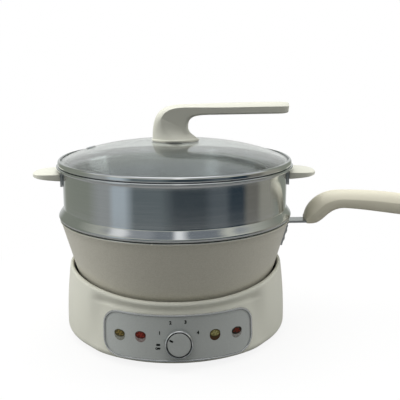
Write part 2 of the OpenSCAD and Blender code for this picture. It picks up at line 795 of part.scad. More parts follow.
module heater_leads() {
    a = element_gap / 2 + 3;
    reach = -(switch_front - switch_l - 4.7);
    for (side = [-1, 1]) {
        pin = [side * sin(a) * element_ring_r, -cos(a) * element_ring_r - element_pin_r - lead_r - 0.1,
            plate_low - element_r - element_pin_l + 2];
        tab = [side * (tab_x - tab_t / 2 - lead_r - loose_gap), reach * cos(panel_tilt) - face_r(knob_z),
            knob_z - reach * sin(panel_tilt)];
        color(red_lead) bar(pin, tab, lead_r);
    }
}

module bottom_screws() {
    color(steel) at_legs() {
        translate([0, 0, cover_z + 0.1]) cylinder(h = screw_head_h - 0.6, r = screw_head_r);
        translate([0, 0, cover_z + 0.2]) cylinder(h = 11, r = screw_r);
    }
}

// Pot

module at_rivet(z) {
    translate([pot_r(z), 0, z]) rotate([0, 90 + pot_flare, 0]) children();
}

module pot_body() {
    bead_z = pot_rim_z - pot_bead_h;
    lip_r = pot_rim_r + pot_bead;
    c = [pot_floor_r, pot_arc_z];
    color(champagne) difference() {
        rotate_extrude() polygon(concat(
            [[0, pot_z]], arc(c, pot_corner, -90, -pot_flare),
            [[pot_r(bead_z), bead_z], [lip_r, bead_z + 0.8], [lip_r, pot_rim_z - 1], [lip_r - 1, pot_rim_z],
                [pot_rim_r - pot_inset + 0.6, pot_rim_z],
                [pot_r(pot_rim_z - 0.6) - pot_inset, pot_rim_z - 0.6]],
            arc(c, pot_corner - pot_t, -pot_flare, -90), [[0, pot_z + pot_t]]));
        for (d = rivet_drops)
            at_rivet(tang_z - d) translate([0, 0, -20]) cylinder(h = 40, r = rivet_r / 2 + 0.05);
    }
}

// Stamped strip: a plate on the pot's wall, bent out into the tang
function strip_r(z) = pot_r(z) + strip_off / cos(pot_flare);

module handle_bracket() {
    turn = tang_z - bend_r + bend_r * sin(pot_flare);
    c = [strip_r(turn) + bend_r * cos(pot_flare), tang_z - bend_r];
    low = [strip_r(turn - bracket_h), turn - bracket_h];
    top = c + bend_r * [-cos(pot_flare), sin(pot_flare)];
    color(steel) difference() {
        union() {
            rotate([90, 0, 0]) linear_extrude(bracket_w, center = true)
                polygon(sheet([low, mix(low, top, 0.5), top], tang_t));
            rotate([90, 0, 0]) linear_extrude(tang_w, center = true)
                polygon(sheet(concat([mix(low, top, 0.9)],
                arc(c, bend_r, 180 - pot_flare, 90), [[pot_rim_r + tang_l, tang_z]]), tang_t));
        }
        for (d = rivet_drops)
            at_rivet(tang_z - d) translate([0, 0, -20]) cylinder(h = 40, r = rivet_r / 2 + 0.05);
        translate([screw_x, 0, tang_z - 10]) cylinder(h = 20, r = 2.1);
    }
}

module handle_rivets() {
    face = loose_gap + tang_t + 0.05;
    inside = pot_t + 0.05;
    color(chrome) for (d = rivet_drops) at_rivet(tang_z - d) {
        translate([0, 0, face]) cylinder(h = rivet_head - 1.2, r = rivet_r);
        translate([0, 0, face + rivet_head - 1.2]) cylinder(h = 1.2, r1 = rivet_r, r2 = rivet_r - 1.6);
        translate([0, 0, -inside - 1]) cylinder(h = inside + face + 1.5, r = rivet_r / 2);
        translate([0, 0, -inside - 1.2]) cylinder(h = 1, r1 = rivet_r - 0.8, r2 = rivet_r);
    }
}

// Long grip: a crowned section swept from the tang up an easy bend and out to a dropped end
grip_end = grip_x + grip_l;
grip_palm = grip_low + grip_rise;
grip_crown = grip_palm + grip_t;
grip_top = [
    [[grip_x, grip_low + 0.37 * grip_t], [grip_x + 1, grip_low + 1.1 * grip_t],
        [grip_x + 0.102 * grip_l, grip_crown - 0.4], [grip_x + 0.245 * grip_l, grip_crown]],
    [[grip_x + 0.245 * grip_l, grip_crown], [grip_x + 0.442 * grip_l, grip_crown + 0.5],
        [grip_end - 0.244 * grip_l, grip_crown - 0.12 * grip_t], [grip_end, grip_crown - 0.8 * grip_t]]];
grip_under = [
    [[grip_x + 2, grip_low - 1], [grip_x + 0.14 * grip_l, grip_low - 4],
        [grip_x + 0.14 * grip_l, grip_palm], [grip_x + 0.28 * grip_l, grip_palm]],
    [[grip_x + 0.28 * grip_l, grip_palm], [grip_x + 0.465 * grip_l, grip_palm - 1.8],
        [grip_end - 0.273 * grip_l, grip_palm - 0.54 * grip_t], [grip_end - 4, grip_palm - 0.66 * grip_t]]];

module handle_grip() {
    stations = concat([for (i = [0:12]) i / 8], [1.6, 1.7, 1.78, 1.85, 1.9, 1.94, 1.97, 1.99, 2]);
    color(ivory) difference() {
        skin([for (t = stations) let (
            k = min(floor(t), 1), top = bezier(grip_top[k], t - k), under = bezier(grip_under[k], t - k),
            end = mix(0.2, 1, sqrt(max(1 - pow(max(t - 1.7, 0) / 0.3, 2.4), 0))), mid = (top + under) / 2,
            w = grip_w * mix(0.8, 1, smooth(t / 0.3)) * end, h = mix(0.35, 1, end))
            grip_section(mid + (top - mid) * h, mid + (under - mid) * h, w, 0.12, 2.2)]);
        translate([grip_x - 20, -tang_w / 2 - 0.2, tang_z - 30])
            cube([pot_rim_r + tang_l + 0.4 - grip_x + 20, tang_w + 0.4, 30 + tang_t / 2 + 0.2]);
        translate([screw_x, 0, tang_z - 10]) cylinder(h = 24, r = 2.05);
    }
}

module grip_screw() {
    color(steel) translate([screw_x, 0, grip_low]) {
        translate([0, 0, -2.2]) cylinder(h = 2.1, r1 = 3, r2 = 4);
        translate([0, 0, -0.5]) cylinder(h = 14, r = 2);
    }
}

// Steamer ring: one sheet from the floor's lip, out under the seat bead, up the wall to the rolled rim
steamer_path = let (t = steamer_t / 2, wall = spigot_r - t, seat = steamer_z + t, out = bead_r - t) concat(
    [[wall - floor_lip, floor_z + t], [wall - 2.5, floor_z + t]],
    arc([wall - 1.5, floor_z + t + 1.5], 1.5, -90, 0, 3),
    arc([wall + 2, seat - 2], 2, 180, 90, 3),
    [for (a = [-90:18:0]) [out - bead_tuck * (1 - cos(a)), seat + bead_round * (1 + sin(a))]],
    [for (s = [0.08:0.115:1])
        [out - (out - steamer_mid_r) * smooth(s), seat + bead_round + (bead_h - bead_round - 1) * s]],
    [[steamer_mid_r, rim_mid_z]],
    arc([steamer_mid_r + rim_bend, rim_mid_z], rim_bend, 170, 90, 6),
    arc([steamer_mid_r + rim_bend, rim_mid_z + rim_bend - 1.1], 1.1, 60, -60, 4));

module at_ear_screws() {
    for (side = [-1, 1], y = [-ear_screw_y, ear_screw_y])
        translate([0, y, ear_z]) rotate([0, side * 90, 0]) children();
}

module steamer_wall() {
    color(steel) difference() {
        rotate_extrude() polygon(sheet(steamer_path, steamer_t));
        at_ear_screws() translate([0, 0, steamer_r - 20]) cylinder(h = 40, r = 2.1);
    }
}

// Perforated floor that drops onto the spigot's lip
module steamer_floor() {
    r = spigot_r - steamer_t - 0.8;
    step = (r - 14) / (hole_rings + 0.4);
    color(steel) translate([0, 0, floor_z + steamer_t + 0.1]) difference() {
        cylinder(h = floor_t, r = r);
        for (k = [1:hole_rings], i = [0:6 * k + 1])
            rotate(i * 360 / (6 * k + 2)) translate([k * step, 0, -1])
                cylinder(h = floor_t + 2, r = hole_r);
    }
}

// Curved steel plate between the steamer's wall and an ear
module ear_bracket(side) {
    r = steamer_r + loose_gap;
    color(steel) difference() {
        intersection() {
            translate([0, 0, ear_z - 30]) difference() {
                cylinder(h = 60, r = r + ear_plate_t);
                translate([0, 0, -1]) cylinder(h = 62, r = r);
            }
            translate([0, 0, ear_z - ear_plate_drop / 2]) rotate([90, 0, side * 90]) translate([0, 0, r / 2])
                linear_extrude(r) polygon(rounded(ear_plate_w, ear_plate_h, 4));
        }
        at_ear_screws() translate([0, 0, steamer_r - 20]) cylinder(h = 40, r = 2.1);
    }
}

// Flat tongue grip, wide at the root and round at the tip
module ear_grip(side) {
    tip = steamer_r + ear_l;
    color(ivory) rotate(side > 0 ? 0 : 180) difference() {
        skin([for (s = [0, 0.12, 0.28, 0.45, 0.6, 0.73, 0.84, 0.92, 0.97, 1]) let (
            end = sqrt(1.001 - pow(s, 3.6)), mid = [mix(ear_root, tip, s), ear_z + 0.6 * s],
            half = [0, ear_t / 2 * mix(1, 0.55, s) * mix(0.45, 1, end)])
            grip_section(mid + half, mid - half, ear_w * mix(0.2, 1, end), 0.45, 3.6)]);
        rotate_extrude() translate([0, ear_z - 30]) square([ear_root, 60]);
        for (y = [-ear_screw_y, ear_screw_y])
            translate([steamer_r - 20, y, ear_z]) rotate([0, 90, 0]) cylinder(h = 20 + 15, r = 2.05);
    }
}

module ear_screws() {
    head = sqrt(steamer_in_r * steamer_in_r - pow(ear_screw_y + 3.5, 2)) - 0.1;
    color(steel) at_ear_screws() {
        translate([0, 0, head - 1.8]) cylinder(h = 1.8, r1 = 2.6, r2 = 3.5);
        translate([0, 0, head - 0.2]) cylinder(h = steamer_r + 12 - head, r = 2);
    }
}

// Lid

glass_path = concat(
    [for (i = [0:12]) let (r = mix(glass_hole_r, dome_r, i / 12)) [r, dome_z(r)]],
    [[dome_r + 1, glass_edge_z - 0.15], [glass_r, glass_edge_z - 0.15]]);

module at_vent() {
    rotate(vent_angle) translate([vent_ring_r, 0, dome_z(vent_ring_r)])
        rotate([0, dome_lean(vent_ring_r), 0]) children();
}

module lid_glass() {
    color(glass) difference() {
        rotate_extrude() polygon(sheet(glass_path, glass_t));
        at_vent() cylinder(h = 30, r = vent_r + 1.5, center = true);
    }
}

// Steel band: a channel round the glass's edge, a flange on the steamer's rim and a spigot inside it
module lid_band() {
    t = band_t;
    top = lid_z + band_h;
    lip_z = glass_edge_z - 0.15 + glass_t / 2 + 0.15;
    low = lid_z - lid_spigot_h;
    color(steel) rotate_extrude() polygon([
        [lid_spigot_r - t, low], [lid_spigot_r, low], [lid_spigot_r, lid_z],
        [band_r - 0.6, lid_z], [band_r, lid_z + 0.6], [band_r, top - 0.8], [band_r - 0.8, top],
        [dome_r + 1.2, top], [dome_r + 1.2, lip_z], [band_r - t, lip_z], [band_r - t, lid_z + t],
        [lid_spigot_r - t, lid_z + t]]);
}

module vent_grommet() {
    half = glass_t / 2 + 0.2;
    color(chrome) at_vent() difference() {
        union() {
            cylinder(h = 2 * half + 1, r = vent_r + 1.4, center = true);
            translate([0, 0, half]) cylinder(h = 0.9, r1 = vent_r + 3.9, r2 = vent_r + 3);
            translate([0, 0, -half - 0.7]) cylinder(h = 0.7, r = vent_r + 3.2);
        }
        cylinder(h = 30, r = vent_r, center = true);
    }
}

// Lid handle: one cantilever swept from an oval foot up the neck and out along the arm
foot_left = [-handle_foot_l * 0.49, foot_z];
foot_right = [handle_foot_l * 0.51, foot_z];
under_z = handle_top - handle_arm_t;
foot_t = 2.6;
arm_outer = [
    [foot_left + [0.8, foot_t], foot_left + [4, foot_t + 25], [foot_left[0] + 13.4, handle_top - 4.5],
        [12, handle_top - 3.4]],
    [[12, handle_top - 3.4], [50, handle_top - 1.4], [90, handle_top - 0.2], [handle_reach, handle_top]]];
arm_neck = [
    [foot_right + [-1.2, foot_t], foot_right + [-7, foot_t + 4], [16, foot_z + 10], [16, foot_z + 17.5]],
    [[16, foot_z + 17.5], [16, under_z - 4], [21, under_z - 0.5], [40, under_z - 0.2]]];

function arm_inner(t) = t < 0.5 ? bezier(arm_neck[0], 2 * t) : t < 1 ? bezier(arm_neck[1], 2 * t - 1)
    : mix([40, under_z - 0.2], [handle_reach - 2, under_z + 1], t - 1);

function foot_oval(rise, inset) = grip_section(foot_left + [inset, rise], foot_right + [-inset, rise],
    handle_foot_w - 2 * inset, 0, 2, 1);

module lid_handle() {
    stations = concat([for (i = [0:11]) i / 12], [1, 1.2, 1.4, 1.6, 1.8, 1.9, 1.96, 2]);
    color(ivory) difference() {
        skin(concat([foot_oval(0, 0), foot_oval(foot_t - 0.6, 0)], [for (t = stations) let (
            k = min(floor(t), 1), outer = bezier(arm_outer[k], t - k), inner = arm_inner(t),
            tip = pow(smooth((t - 1.88) / 0.12), 2), flare = pow(max(1 - t / 0.45, 0), 2.4),
            w = mix(mix(handle_arm_w, handle_foot_w - 3, flare), handle_arm_w - 3, tip))
            grip_section(outer - [0, 1.2 * tip], inner + [0, 2 * tip], w,
                mix(0.3, 0.15, smooth(t)), mix(2.4, 2, smooth(t)), 1 - smooth(t / 0.6))]));
        translate([0, 0, foot_z - 1]) cylinder(h = lid_screw_l, r = lid_screw_r + 0.05);
    }
}

// Silicone pad that fills the gap between the handle's flat foot and the dome
module handle_gasket() {
    r = handle_foot_w / 2 - 1;
    span = handle_foot_l / 2 - 1 - r;
    depth = gasket_t + 4;
    color(rubber) difference() {
        translate([(foot_left[0] + foot_right[0]) / 2, 0, foot_z - depth]) linear_extrude(depth - 0.05)
            polygon(concat(arc([span, 0], r, -90, 90), arc([-span, 0], r, 90, 270)));
        rotate_extrude() polygon(concat([[0, foot_z - 40]], [[handle_foot_l, foot_z - 40]],
            [for (i = [12:-1:0]) let (r = i * handle_foot_l / 12) [r, dome_z(r) + glass_t / 2 + 0.05]]));
        translate([0, 0, foot_z - 20]) cylinder(h = 40, r = lid_screw_r + 0.4);
    }
}

washer_z = dome_z(washer_r) - glass_t / 2 - 0.25;

module handle_washer() {
    color(steel) translate([0, 0, washer_z - washer_t]) difference() {
        cylinder(h = washer_t, r = washer_r);
        translate([0, 0, -1]) cylinder(h = 10, r = lid_screw_r + 0.3);
    }
}

module handle_screw() {
    color(steel) {
        translate([0, 0, washer_z - washer_t - 2.6]) cylinder(h = 2.5, r1 = 4, r2 = 5);
        translate([0, 0, washer_z - washer_t - 1])
            cylinder(h = foot_z + lid_screw_l - 3 - washer_z + washer_t, r = lid_screw_r);
    }
}

base_shell();
well_liner();
bottom_cover();
foot(0);  // foot_front_left
foot(1);  // foot_front_right
foot(2);  // foot_back_left
foot(3);  // foot_back_right
heating_plate();
heating_element();
plate_stand();
sensor_guide();
sensor_cap();
sensor_spring();
thermal_fuse();
fuse_clip();
heater_leads();
supply_leads();
control_panel();
panel_bezel();
switch_body();
switch_nut();
switch_shaft();
knob_body();
knob_cap();
mains_inlet();
inlet_pins();
inlet_screws();
bottom_screws();
pot_body();
handle_bracket();
handle_rivets();
handle_grip();
grip_screw();
steamer_wall();
steamer_floor();
ear_bracket(-1);  // ear_bracket_left
ear_bracket(1);  // ear_bracket_right
ear_grip(-1);  // ear_grip_left
ear_grip(1);  // ear_grip_right
ear_screws();
lid_glass();
lid_band();
vent_grommet();
lid_handle();
handle_gasket();
handle_washer();
handle_screw();
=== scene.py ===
"""Dresses the electric wok: a heating base with its panel, the pot, the steamer ring and the glass lid.

Sizes are in millimetres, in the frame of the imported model: the pot's axis is Z, the panel faces -Y and the
long handle points along +X.
"""

import logging
import math
from collections.abc import Sequence
from dataclasses import dataclass
from enum import Enum
from functools import cache

import bmesh
import bpy
from mathutils import Matrix, Vector


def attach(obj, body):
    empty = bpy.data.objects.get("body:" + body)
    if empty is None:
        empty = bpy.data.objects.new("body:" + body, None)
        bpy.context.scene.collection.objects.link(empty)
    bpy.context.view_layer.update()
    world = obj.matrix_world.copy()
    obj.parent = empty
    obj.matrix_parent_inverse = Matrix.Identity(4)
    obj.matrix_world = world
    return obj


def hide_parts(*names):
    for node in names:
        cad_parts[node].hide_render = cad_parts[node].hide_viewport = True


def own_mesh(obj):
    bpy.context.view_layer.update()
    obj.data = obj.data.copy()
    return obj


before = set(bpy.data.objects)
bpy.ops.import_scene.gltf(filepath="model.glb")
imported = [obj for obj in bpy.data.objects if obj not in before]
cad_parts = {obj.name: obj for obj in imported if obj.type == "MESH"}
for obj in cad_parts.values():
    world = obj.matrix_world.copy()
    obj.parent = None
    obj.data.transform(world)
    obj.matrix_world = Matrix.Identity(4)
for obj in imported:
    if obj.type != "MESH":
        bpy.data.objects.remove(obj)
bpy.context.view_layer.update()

MM = 0.001
LOG = logging.getLogger("wok")

Point = tuple[float, float]
Spot = tuple[float, float, float]
Colour = tuple[float, float, float, float]
Mesh = bmesh.types.BMesh
Tree = bpy.types.NodeTree
Node = bpy.types.Node
Socket = bpy.types.NodeSocket


# Curves and outlines


def mix(start: float, end: float, share: float) -> float:
    """Value a share of the way from start to end."""
    return start + (end - start) * share


def smooth(share: float) -> float:
    """Eased share, flat at 0 and at 1."""
    u = min(max(share, 0.0), 1.0)
    return u * u * (3 - 2 * u)


def arc(centre: Point, radius: float, start: float, end: float, count: int) -> list[Point]:
    """Points on an arc.

    Args:
        centre: Middle of the arc.
        radius: Radius of the arc.
        start: First angle in degrees.
        end: Last angle in degrees.
        count: Number of steps.

    Returns:
        The points from start to end.
    """
    angles = [math.radians(mix(start, end, i / count)) for i in range(count + 1)]
    return [(centre[0] + radius * math.cos(a), centre[1] + radius * math.sin(a)) for a in angles]


def bezier(points: Sequence[Point], share: float) -> Vector:
    """Point on a cubic curve through four control points, a share of the way along."""
    s = 1 - share
    weights = (s**3, 3 * s * s * share, 3 * s * share * share, share**3)
    return sum((Vector(p) * w for p, w in zip(points, weights)), Vector((0.0, 0.0)))


def sheet_outline(path: Sequence[Point], thickness: float) -> list[Point]:
    """Closed outline of a sheet that follows a centre line.

    Args:
        path: Points of the centre line.
        thickness: Thickness of the sheet.

    Returns:
        Points down one face and back along the other.
    """
    left, right = [], []
    for i, point in enumerate(path):
        run = Vector(path[min(i + 1, len(path) - 1)]) - Vector(path[max(i - 1, 0)])
        normal = Vector((-run.y, run.x)).normalized() * thickness / 2
        left.append(tuple(Vector(point) + normal))
        right.append(tuple(Vector(point) - normal))
    return left + right[::-1]


def rounded_outline(
    width: float, height: float, radius: float, steps: int = 8, runs: tuple[int, int] = (36, 8)
) -> list[Point]:
    """Outline of a rectangle with round corners, with points along its straight runs.

    Args:
        width: Full width.
        height: Full height.
        radius: Corner radius.
        steps: Steps in a corner.
        runs: Steps along the width and along the height.

    Returns:
        Points once round, anticlockwise.
    """
    x, y = width / 2 - radius, height / 2 - radius
    centres = [(x, y), (-x, y), (-x, -y), (x, -y)]
    points: list[Point] = []
    for i, centre in enumerate(centres):
        corner = arc(centre, radius, 90 * i, 90 * i + 90, steps)
        count = runs[i % 2]
        shift = Vector(centres[(i + 1) % 4]) - Vector(centre)
        points += corner
        points += [tuple(Vector(corner[-1]) + shift * k / count) for k in range(1, count)]
    return points


CROWN_STEPS = 24
PALM_STEPS = 21
PALM_POWER = 5
PALM_LEVEL = -0.5
PALM_GAP = 0.05


def grip_section(
    outer: Vector, inner: Vector, width: float, flank: float, power: float, oval: float = 0.0
) -> list[Vector]:
    """Section of a grip between an outer and an inner edge point in the XZ plane.

    Args:
        outer: Middle of the crowned edge.
        inner: Middle of the flatter edge.
        width: Width along Y.
        flank: Where the crown starts on the flanks, from -1 at the inner edge to 1 at the outer.
        power: Fullness of the crown.
        oval: Share of a plain oval in the section.

    Returns:
        Points once round the section.
    """
    middle, half = (outer + inner) / 2, (outer - inner) / 2
    shape: list[Point] = []
    for i in range(CROWN_STEPS + 1):
        a = math.pi * i / CROWN_STEPS
        s = math.cos(a)
        shape.append((s, mix(flank + (1 - flank) * (1 - abs(s) ** power), math.sin(a), oval)))
    for i in range(PALM_STEPS):
        a = math.pi + math.pi * (i + 0.5) / PALM_STEPS
        c, s = math.cos(a), math.sin(a)
        fold = (abs(c) ** PALM_POWER + abs(s) ** PALM_POWER) ** (-1 / PALM_POWER)
        palm = min(PALM_LEVEL * (1 - s * fold), flank - PALM_GAP)
        shape.append((mix(c * fold, c, oval), mix(palm, s, oval)))
    spots = [middle + half * lift for _, lift in shape]
    return [Vector((p.x, across * width / 2, p.y)) for p, (across, _) in zip(spots, shape)]


# Meshes


def drawn_loop(points: Sequence[Sequence[float]], closed: bool = True) -> tuple[Mesh, list, list]:
    """Starts a mesh with one row of points.

    Args:
        points: Places of the points.
        closed: Whether the last point joins the first.

    Returns:
        The mesh, its points, numbered in the layer "place", and the edges between them.
    """
    bm = bmesh.new()
    place = bm.verts.layers.int.new("place")
    verts = [bm.verts.new(p) for p in points]
    for i, vert in enumerate(verts):
        vert[place] = i
    ends = verts[1:] + verts[:1] if closed else verts[1:]
    return bm, verts, [bm.edges.new(pair) for pair in zip(verts, ends)]


def spin(bm: Mesh, geom: list, steps: int) -> None:
    """Spins points and edges once round Z."""
    bmesh.ops.spin(bm, geom=geom, cent=(0, 0, 0), axis=(0, 0, 1), angle=math.tau, steps=steps, use_merge=True)


def cleaned(bm: Mesh) -> Mesh:
    """The mesh, with points that coincide joined and its faces turned outwards."""
    bmesh.ops.remove_doubles(bm, verts=bm.verts, dist=1e-4)
    bmesh.ops.dissolve_degenerate(bm, edges=bm.edges, dist=1e-5)
    bmesh.ops.recalc_face_normals(bm, faces=bm.faces)
    return bm


def turned(profile: Sequence[Point], steps: int = 192, closed: bool = True) -> Mesh:
    """Turns a [radius, height] outline round Z.

    Args:
        profile: Points of the outline.
        steps: Steps in a full turn.
        closed: Whether the last point joins the first; false where both lie on the axis.

    Returns:
        The turned solid.
    """
    bm, verts, edges = drawn_loop([(r, 0.0, z) for r, z in profile], closed)
    spin(bm, verts + edges, steps)
    return cleaned(bm)


def skinned(loops: Sequence[Sequence[Vector]], ring: bool = False) -> Mesh:
    """Extrudes a first loop through a row of further loops of as many points.

    Args:
        loops: Closed loops of points, each in the same order.
        ring: Whether the last loop runs back into the first, instead of closing both ends.

    Returns:
        The closed solid.
    """
    bm, verts, edges = drawn_loop(loops[0])
    place = bm.verts.layers.int["place"]
    if not ring:
        bm.faces.new(verts)
    for loop in list(loops[1:]) + ([loops[0]] if ring else []):
        made = bmesh.ops.extrude_edge_only(bm, edges=edges)["geom"]
        fresh = {g for g in made if isinstance(g, bmesh.types.BMVert)}
        for vert in fresh:
            vert.co = loop[vert[place]]
        edges = [g for g in made if isinstance(g, bmesh.types.BMEdge) and set(g.verts) <= fresh]
    if not ring:
        bmesh.ops.contextual_create(bm, geom=edges)
    return cleaned(bm)


def flat(points: Sequence[Spot]) -> Mesh:
    """One flat face inside a row of points."""
    bm = bmesh.new()
    bm.faces.new([bm.verts.new(p) for p in points])
    return bm


def thicken(bm: Mesh, shift: Spot) -> None:
    """Gives flat faces a body by carrying a copy of them along a shift."""
    made = bmesh.ops.extrude_face_region(bm, geom=list(bm.faces), use_keep_orig=True)["geom"]
    bmesh.ops.translate(bm, vec=shift, verts=[g for g in made if isinstance(g, bmesh.types.BMVert)])
    bmesh.ops.recalc_face_normals(bm, faces=bm.faces)


def placed(bm: Mesh, place: Matrix) -> Mesh:
    """The mesh, moved to a placement."""
    bmesh.ops.transform(bm, matrix=place, verts=bm.verts)
    return bm


def mesh_data(bm: Mesh, name: str) -> bpy.types.Mesh:
    """Mesh data of a bmesh, which is freed."""
    mesh = bpy.data.meshes.new(name)
    bm.to_mesh(mesh)
    bm.free()
    return mesh


def add_object(name: str, data: bpy.types.ID) -> bpy.types.Object:
    """Adds an object to the scene."""
    obj = bpy.data.objects.new(name, data)
    bpy.context.scene.collection.objects.link(obj)
    return obj


# Finishes

WHITE: Colour = (1.0, 1.0, 1.0, 1.0)
QUARTER_TURN = 0.25
# Where most of a noise lies.
NOISE_SPAN: Point = (0.3, 0.7)


def linear(code: str) -> Colour:
    """Linear colour of an sRGB hex value such as #dcdccf."""
    values = [int(code[i : i + 2], 16) / 255 for i in (1, 3, 5)]
    return (*[v / 12.92 if v <= 0.04045 else ((v + 0.055) / 1.055) ** 2.4 for v in values], 1.0)


def add_node(tree: Tree, kind: str, inputs: dict | None = None, **settings: object) -> Node:
    """Adds one node, with its settings, values and links.

    Args:
        tree: Tree that takes the node.
        kind: Type of the node.
        inputs: Input name or number to a value, or to the socket that feeds it.
        settings: Properties of the node.

    Returns:
        The new node.
    """
    node = tree.nodes.new(kind)
    for key, value in settings.items():
        setattr(node, key, value)
    for key, value in (inputs or {}).items():
        if isinstance(value, Socket):
            tree.links.new(value, node.inputs[key])
        else:
            node.inputs[key].default_value = value
    return node


def own_place(tree: Tree) -> Socket:
    """Place in the object's own coordinates."""
    return add_node(tree, "ShaderNodeTexCoord").outputs["Object"]


def noise(tree: Tree, size: float, detail: float) -> Socket:
    """Soft noise over the object, with marks of a size in millimetres."""
    inputs = {"Vector": own_place(tree), "Scale": 1 / (size * MM), "Detail": detail}
    return add_node(tree, "ShaderNodeTexNoise", inputs).outputs["Fac"]


def blend(tree: Tree, share: Socket, low: Colour | Socket, high: Colour | Socket) -> Socket:
    """Colour a share of the way between two colours."""
    return add_node(tree, "ShaderNodeMixRGB", {"Fac": share, "Color1": low, "Color2": high}).outputs["Color"]


def ranged(tree: Tree, value: Socket, span: Point, result: Point = (0.0, 1.0)) -> Socket:
    """Value carried from one span to another, and held at its ends."""
    ends = dict(zip(("From Min", "From Max", "To Min", "To Max"), span + result))
    return add_node(tree, "ShaderNodeMapRange", {"Value": value, **ends}).outputs["Result"]


def reckon(tree: Tree, operation: str, first: Socket, second: Socket | float) -> Socket:
    """Result of an operation on two values."""
    return add_node(tree, "ShaderNodeMath", {0: first, 1: second}, operation=operation).outputs["Value"]


class Brushing(Enum):
    """Way the brush ran over a metal, as the size of its marks along X, Y and Z."""

    ROUND = (70.0, 70.0, 0.9)
    ALONG = (60.0, 0.9, 0.9)
    FACE = (2.0, 2.0, 2.0)


@dataclass(frozen=True)
class Finish:
    """A surface as it was made: its colours and how it takes the light."""

    name: str
    colour: str
    shade: str
    roughness: float
    metallic: float = 0.0
    ior: float = 1.5

    def dress(self, tree: Tree, shader: Node) -> None:
        """Adds the finish's pattern to its shader."""
        raise NotImplementedError

    def tone(self, tree: Tree, shader: Node, share: Socket) -> None:
        """Blends the base colour from the shade to the colour by a share."""
        colour = blend(tree, share, linear(self.shade), linear(self.colour))
        tree.links.new(colour, shader.inputs["Base Color"])

    def grit(self, tree: Tree, shader: Node, height: Socket, depth: float) -> None:
        """Raises the surface by a height field whose full depth is in millimetres."""
        bump = add_node(tree, "ShaderNodeBump", {"Strength": 1.0, "Distance": depth * MM, "Height": height})
        tree.links.new(bump.outputs["Normal"], shader.inputs["Normal"])

    def vary(self, tree: Tree, shader: Node, share: Socket, spread: float) -> None:
        """Varies the roughness by a share, up to a spread either way."""
        result = (self.roughness - spread, self.roughness + spread)
        tree.links.new(ranged(tree, share, NOISE_SPAN, result), shader.inputs["Roughness"])


@cache
def made_material(finish: Finish) -> bpy.types.Material:
    """Material of a finish.

    Args:
        finish: The finish, whose values key the cache.

    Returns:
        A material that is shared by the pieces of that finish.
    """
    material = bpy.data.materials.new(finish.name)
    material.use_nodes = True
    tree = material.node_tree
    shader = tree.nodes["Principled BSDF"]
    shader.inputs["Base Color"].default_value = linear(finish.colour)
    shader.inputs["Roughness"].default_value = finish.roughness
    shader.inputs["Metallic"].default_value = finish.metallic
    shader.inputs["IOR"].default_value = finish.ior
    finish.dress(tree, shader)
    return material


@dataclass(frozen=True)
class Moulded(Finish):
    """Injection-moulded plastic or rubber: slow flow mottle under a fine spark-eroded grain."""

    mottle: float = 45.0
    grain: float = 0.7
    depth: float = 0.008
    spread: float = 0.05

    def dress(self, tree: Tree, shader: Node) -> None:
        """Adds the mottle and the grain; the grain is drawn coarser than life so that it shows."""
        fine = noise(tree, self.grain, 2.0)
        self.tone(tree, shader, noise(tree, self.mottle, 3.0))
        self.vary(tree, shader, fine, self.spread)
        self.grit(tree, shader, fine, self.depth)


@dataclass(frozen=True)
class Coated(Finish):
    """Sprayed metallic coat: small bright flakes in the colour and a soft orange peel over it."""

    flake: float = 0.9
    peel: float = 5.0
    depth: float = 0.02
    spread: float = 0.04

    def dress(self, tree: Tree, shader: Node) -> None:
        """Adds the flakes, drawn coarser than life, and the peel."""
        cells = {"Vector": own_place(tree), "Scale": 1 / (self.flake * MM)}
        flakes = add_node(tree, "ShaderNodeTexVoronoi", cells).outputs["Color"]
        waves = noise(tree, self.peel, 2.0)
        self.tone(tree, shader, add_node(tree, "ShaderNodeSeparateColor", {"Color": flakes}).outputs["Red"])
        self.vary(tree, shader, waves, self.spread)
        self.grit(tree, shader, waves, self.depth)


@dataclass(frozen=True)
class Brushed(Finish):
    """Stainless sheet brushed in one direction: fine parallel marks that draw the light out across them."""

    marks: Brushing = Brushing.ROUND
    spread: float = 0.07
    depth: float = 0.004
    drawn: float = 0.0

    def dress(self, tree: Tree, shader: Node) -> None:
        """Adds the brush marks, drawn about three times coarser than life so that they show."""
        pitch = tuple(1 / (size * MM) for size in self.marks.value)
        along = add_node(tree, "ShaderNodeMapping", {"Vector": own_place(tree), "Scale": pitch})
        strokes = {"Vector": along.outputs["Vector"], "Scale": 1.0, "Detail": 4.0}
        lines = add_node(tree, "ShaderNodeTexNoise", strokes).outputs["Fac"]
        self.tone(tree, shader, lines)
        self.vary(tree, shader, lines, self.spread)
        self.grit(tree, shader, lines, self.depth)
        if self.drawn:
            shader.inputs["Anisotropic"].default_value = self.drawn
            shader.inputs["Anisotropic Rotation"].default_value = QUARTER_TURN
            turn = add_node(tree, "ShaderNodeTangent", direction_type="RADIAL", axis="Z")
            tree.links.new(turn.outputs["Tangent"], shader.inputs["Tangent"])


@dataclass(frozen=True)
class Cast(Finish):
    """Cast or plated metal: a cloudy tone with small pits."""

    cloud: float = 12.0
    pit: float = 1.2
    depth: float = 0.02
    spread: float = 0.06

    def dress(self, tree: Tree, shader: Node) -> None:
        """Adds the clouds and the pits."""
        clouds = noise(tree, self.cloud, 4.0)
        self.tone(tree, shader, clouds)
        self.vary(tree, shader, clouds, min(self.spread, self.roughness * 0.5))
        self.grit(tree, shader, noise(tree, self.pit, 2.0), self.depth)


@dataclass(frozen=True)
class ToughenedGlass(Finish):
    """Toughened soda-lime glass: clear with a faint green cast and a trace of wipe marks."""

    wipe: float = 35.0

    def dress(self, tree: Tree, shader: Node) -> None:
        """Lets the light through and adds the wipe marks to the roughness."""
        shader.inputs["Transmission Weight"].default_value = 1.0
        wipes = noise(tree, self.wipe, 5.0)
        self.tone(tree, shader, wipes)
        self.vary(tree, shader, wipes, self.roughness * 0.9)


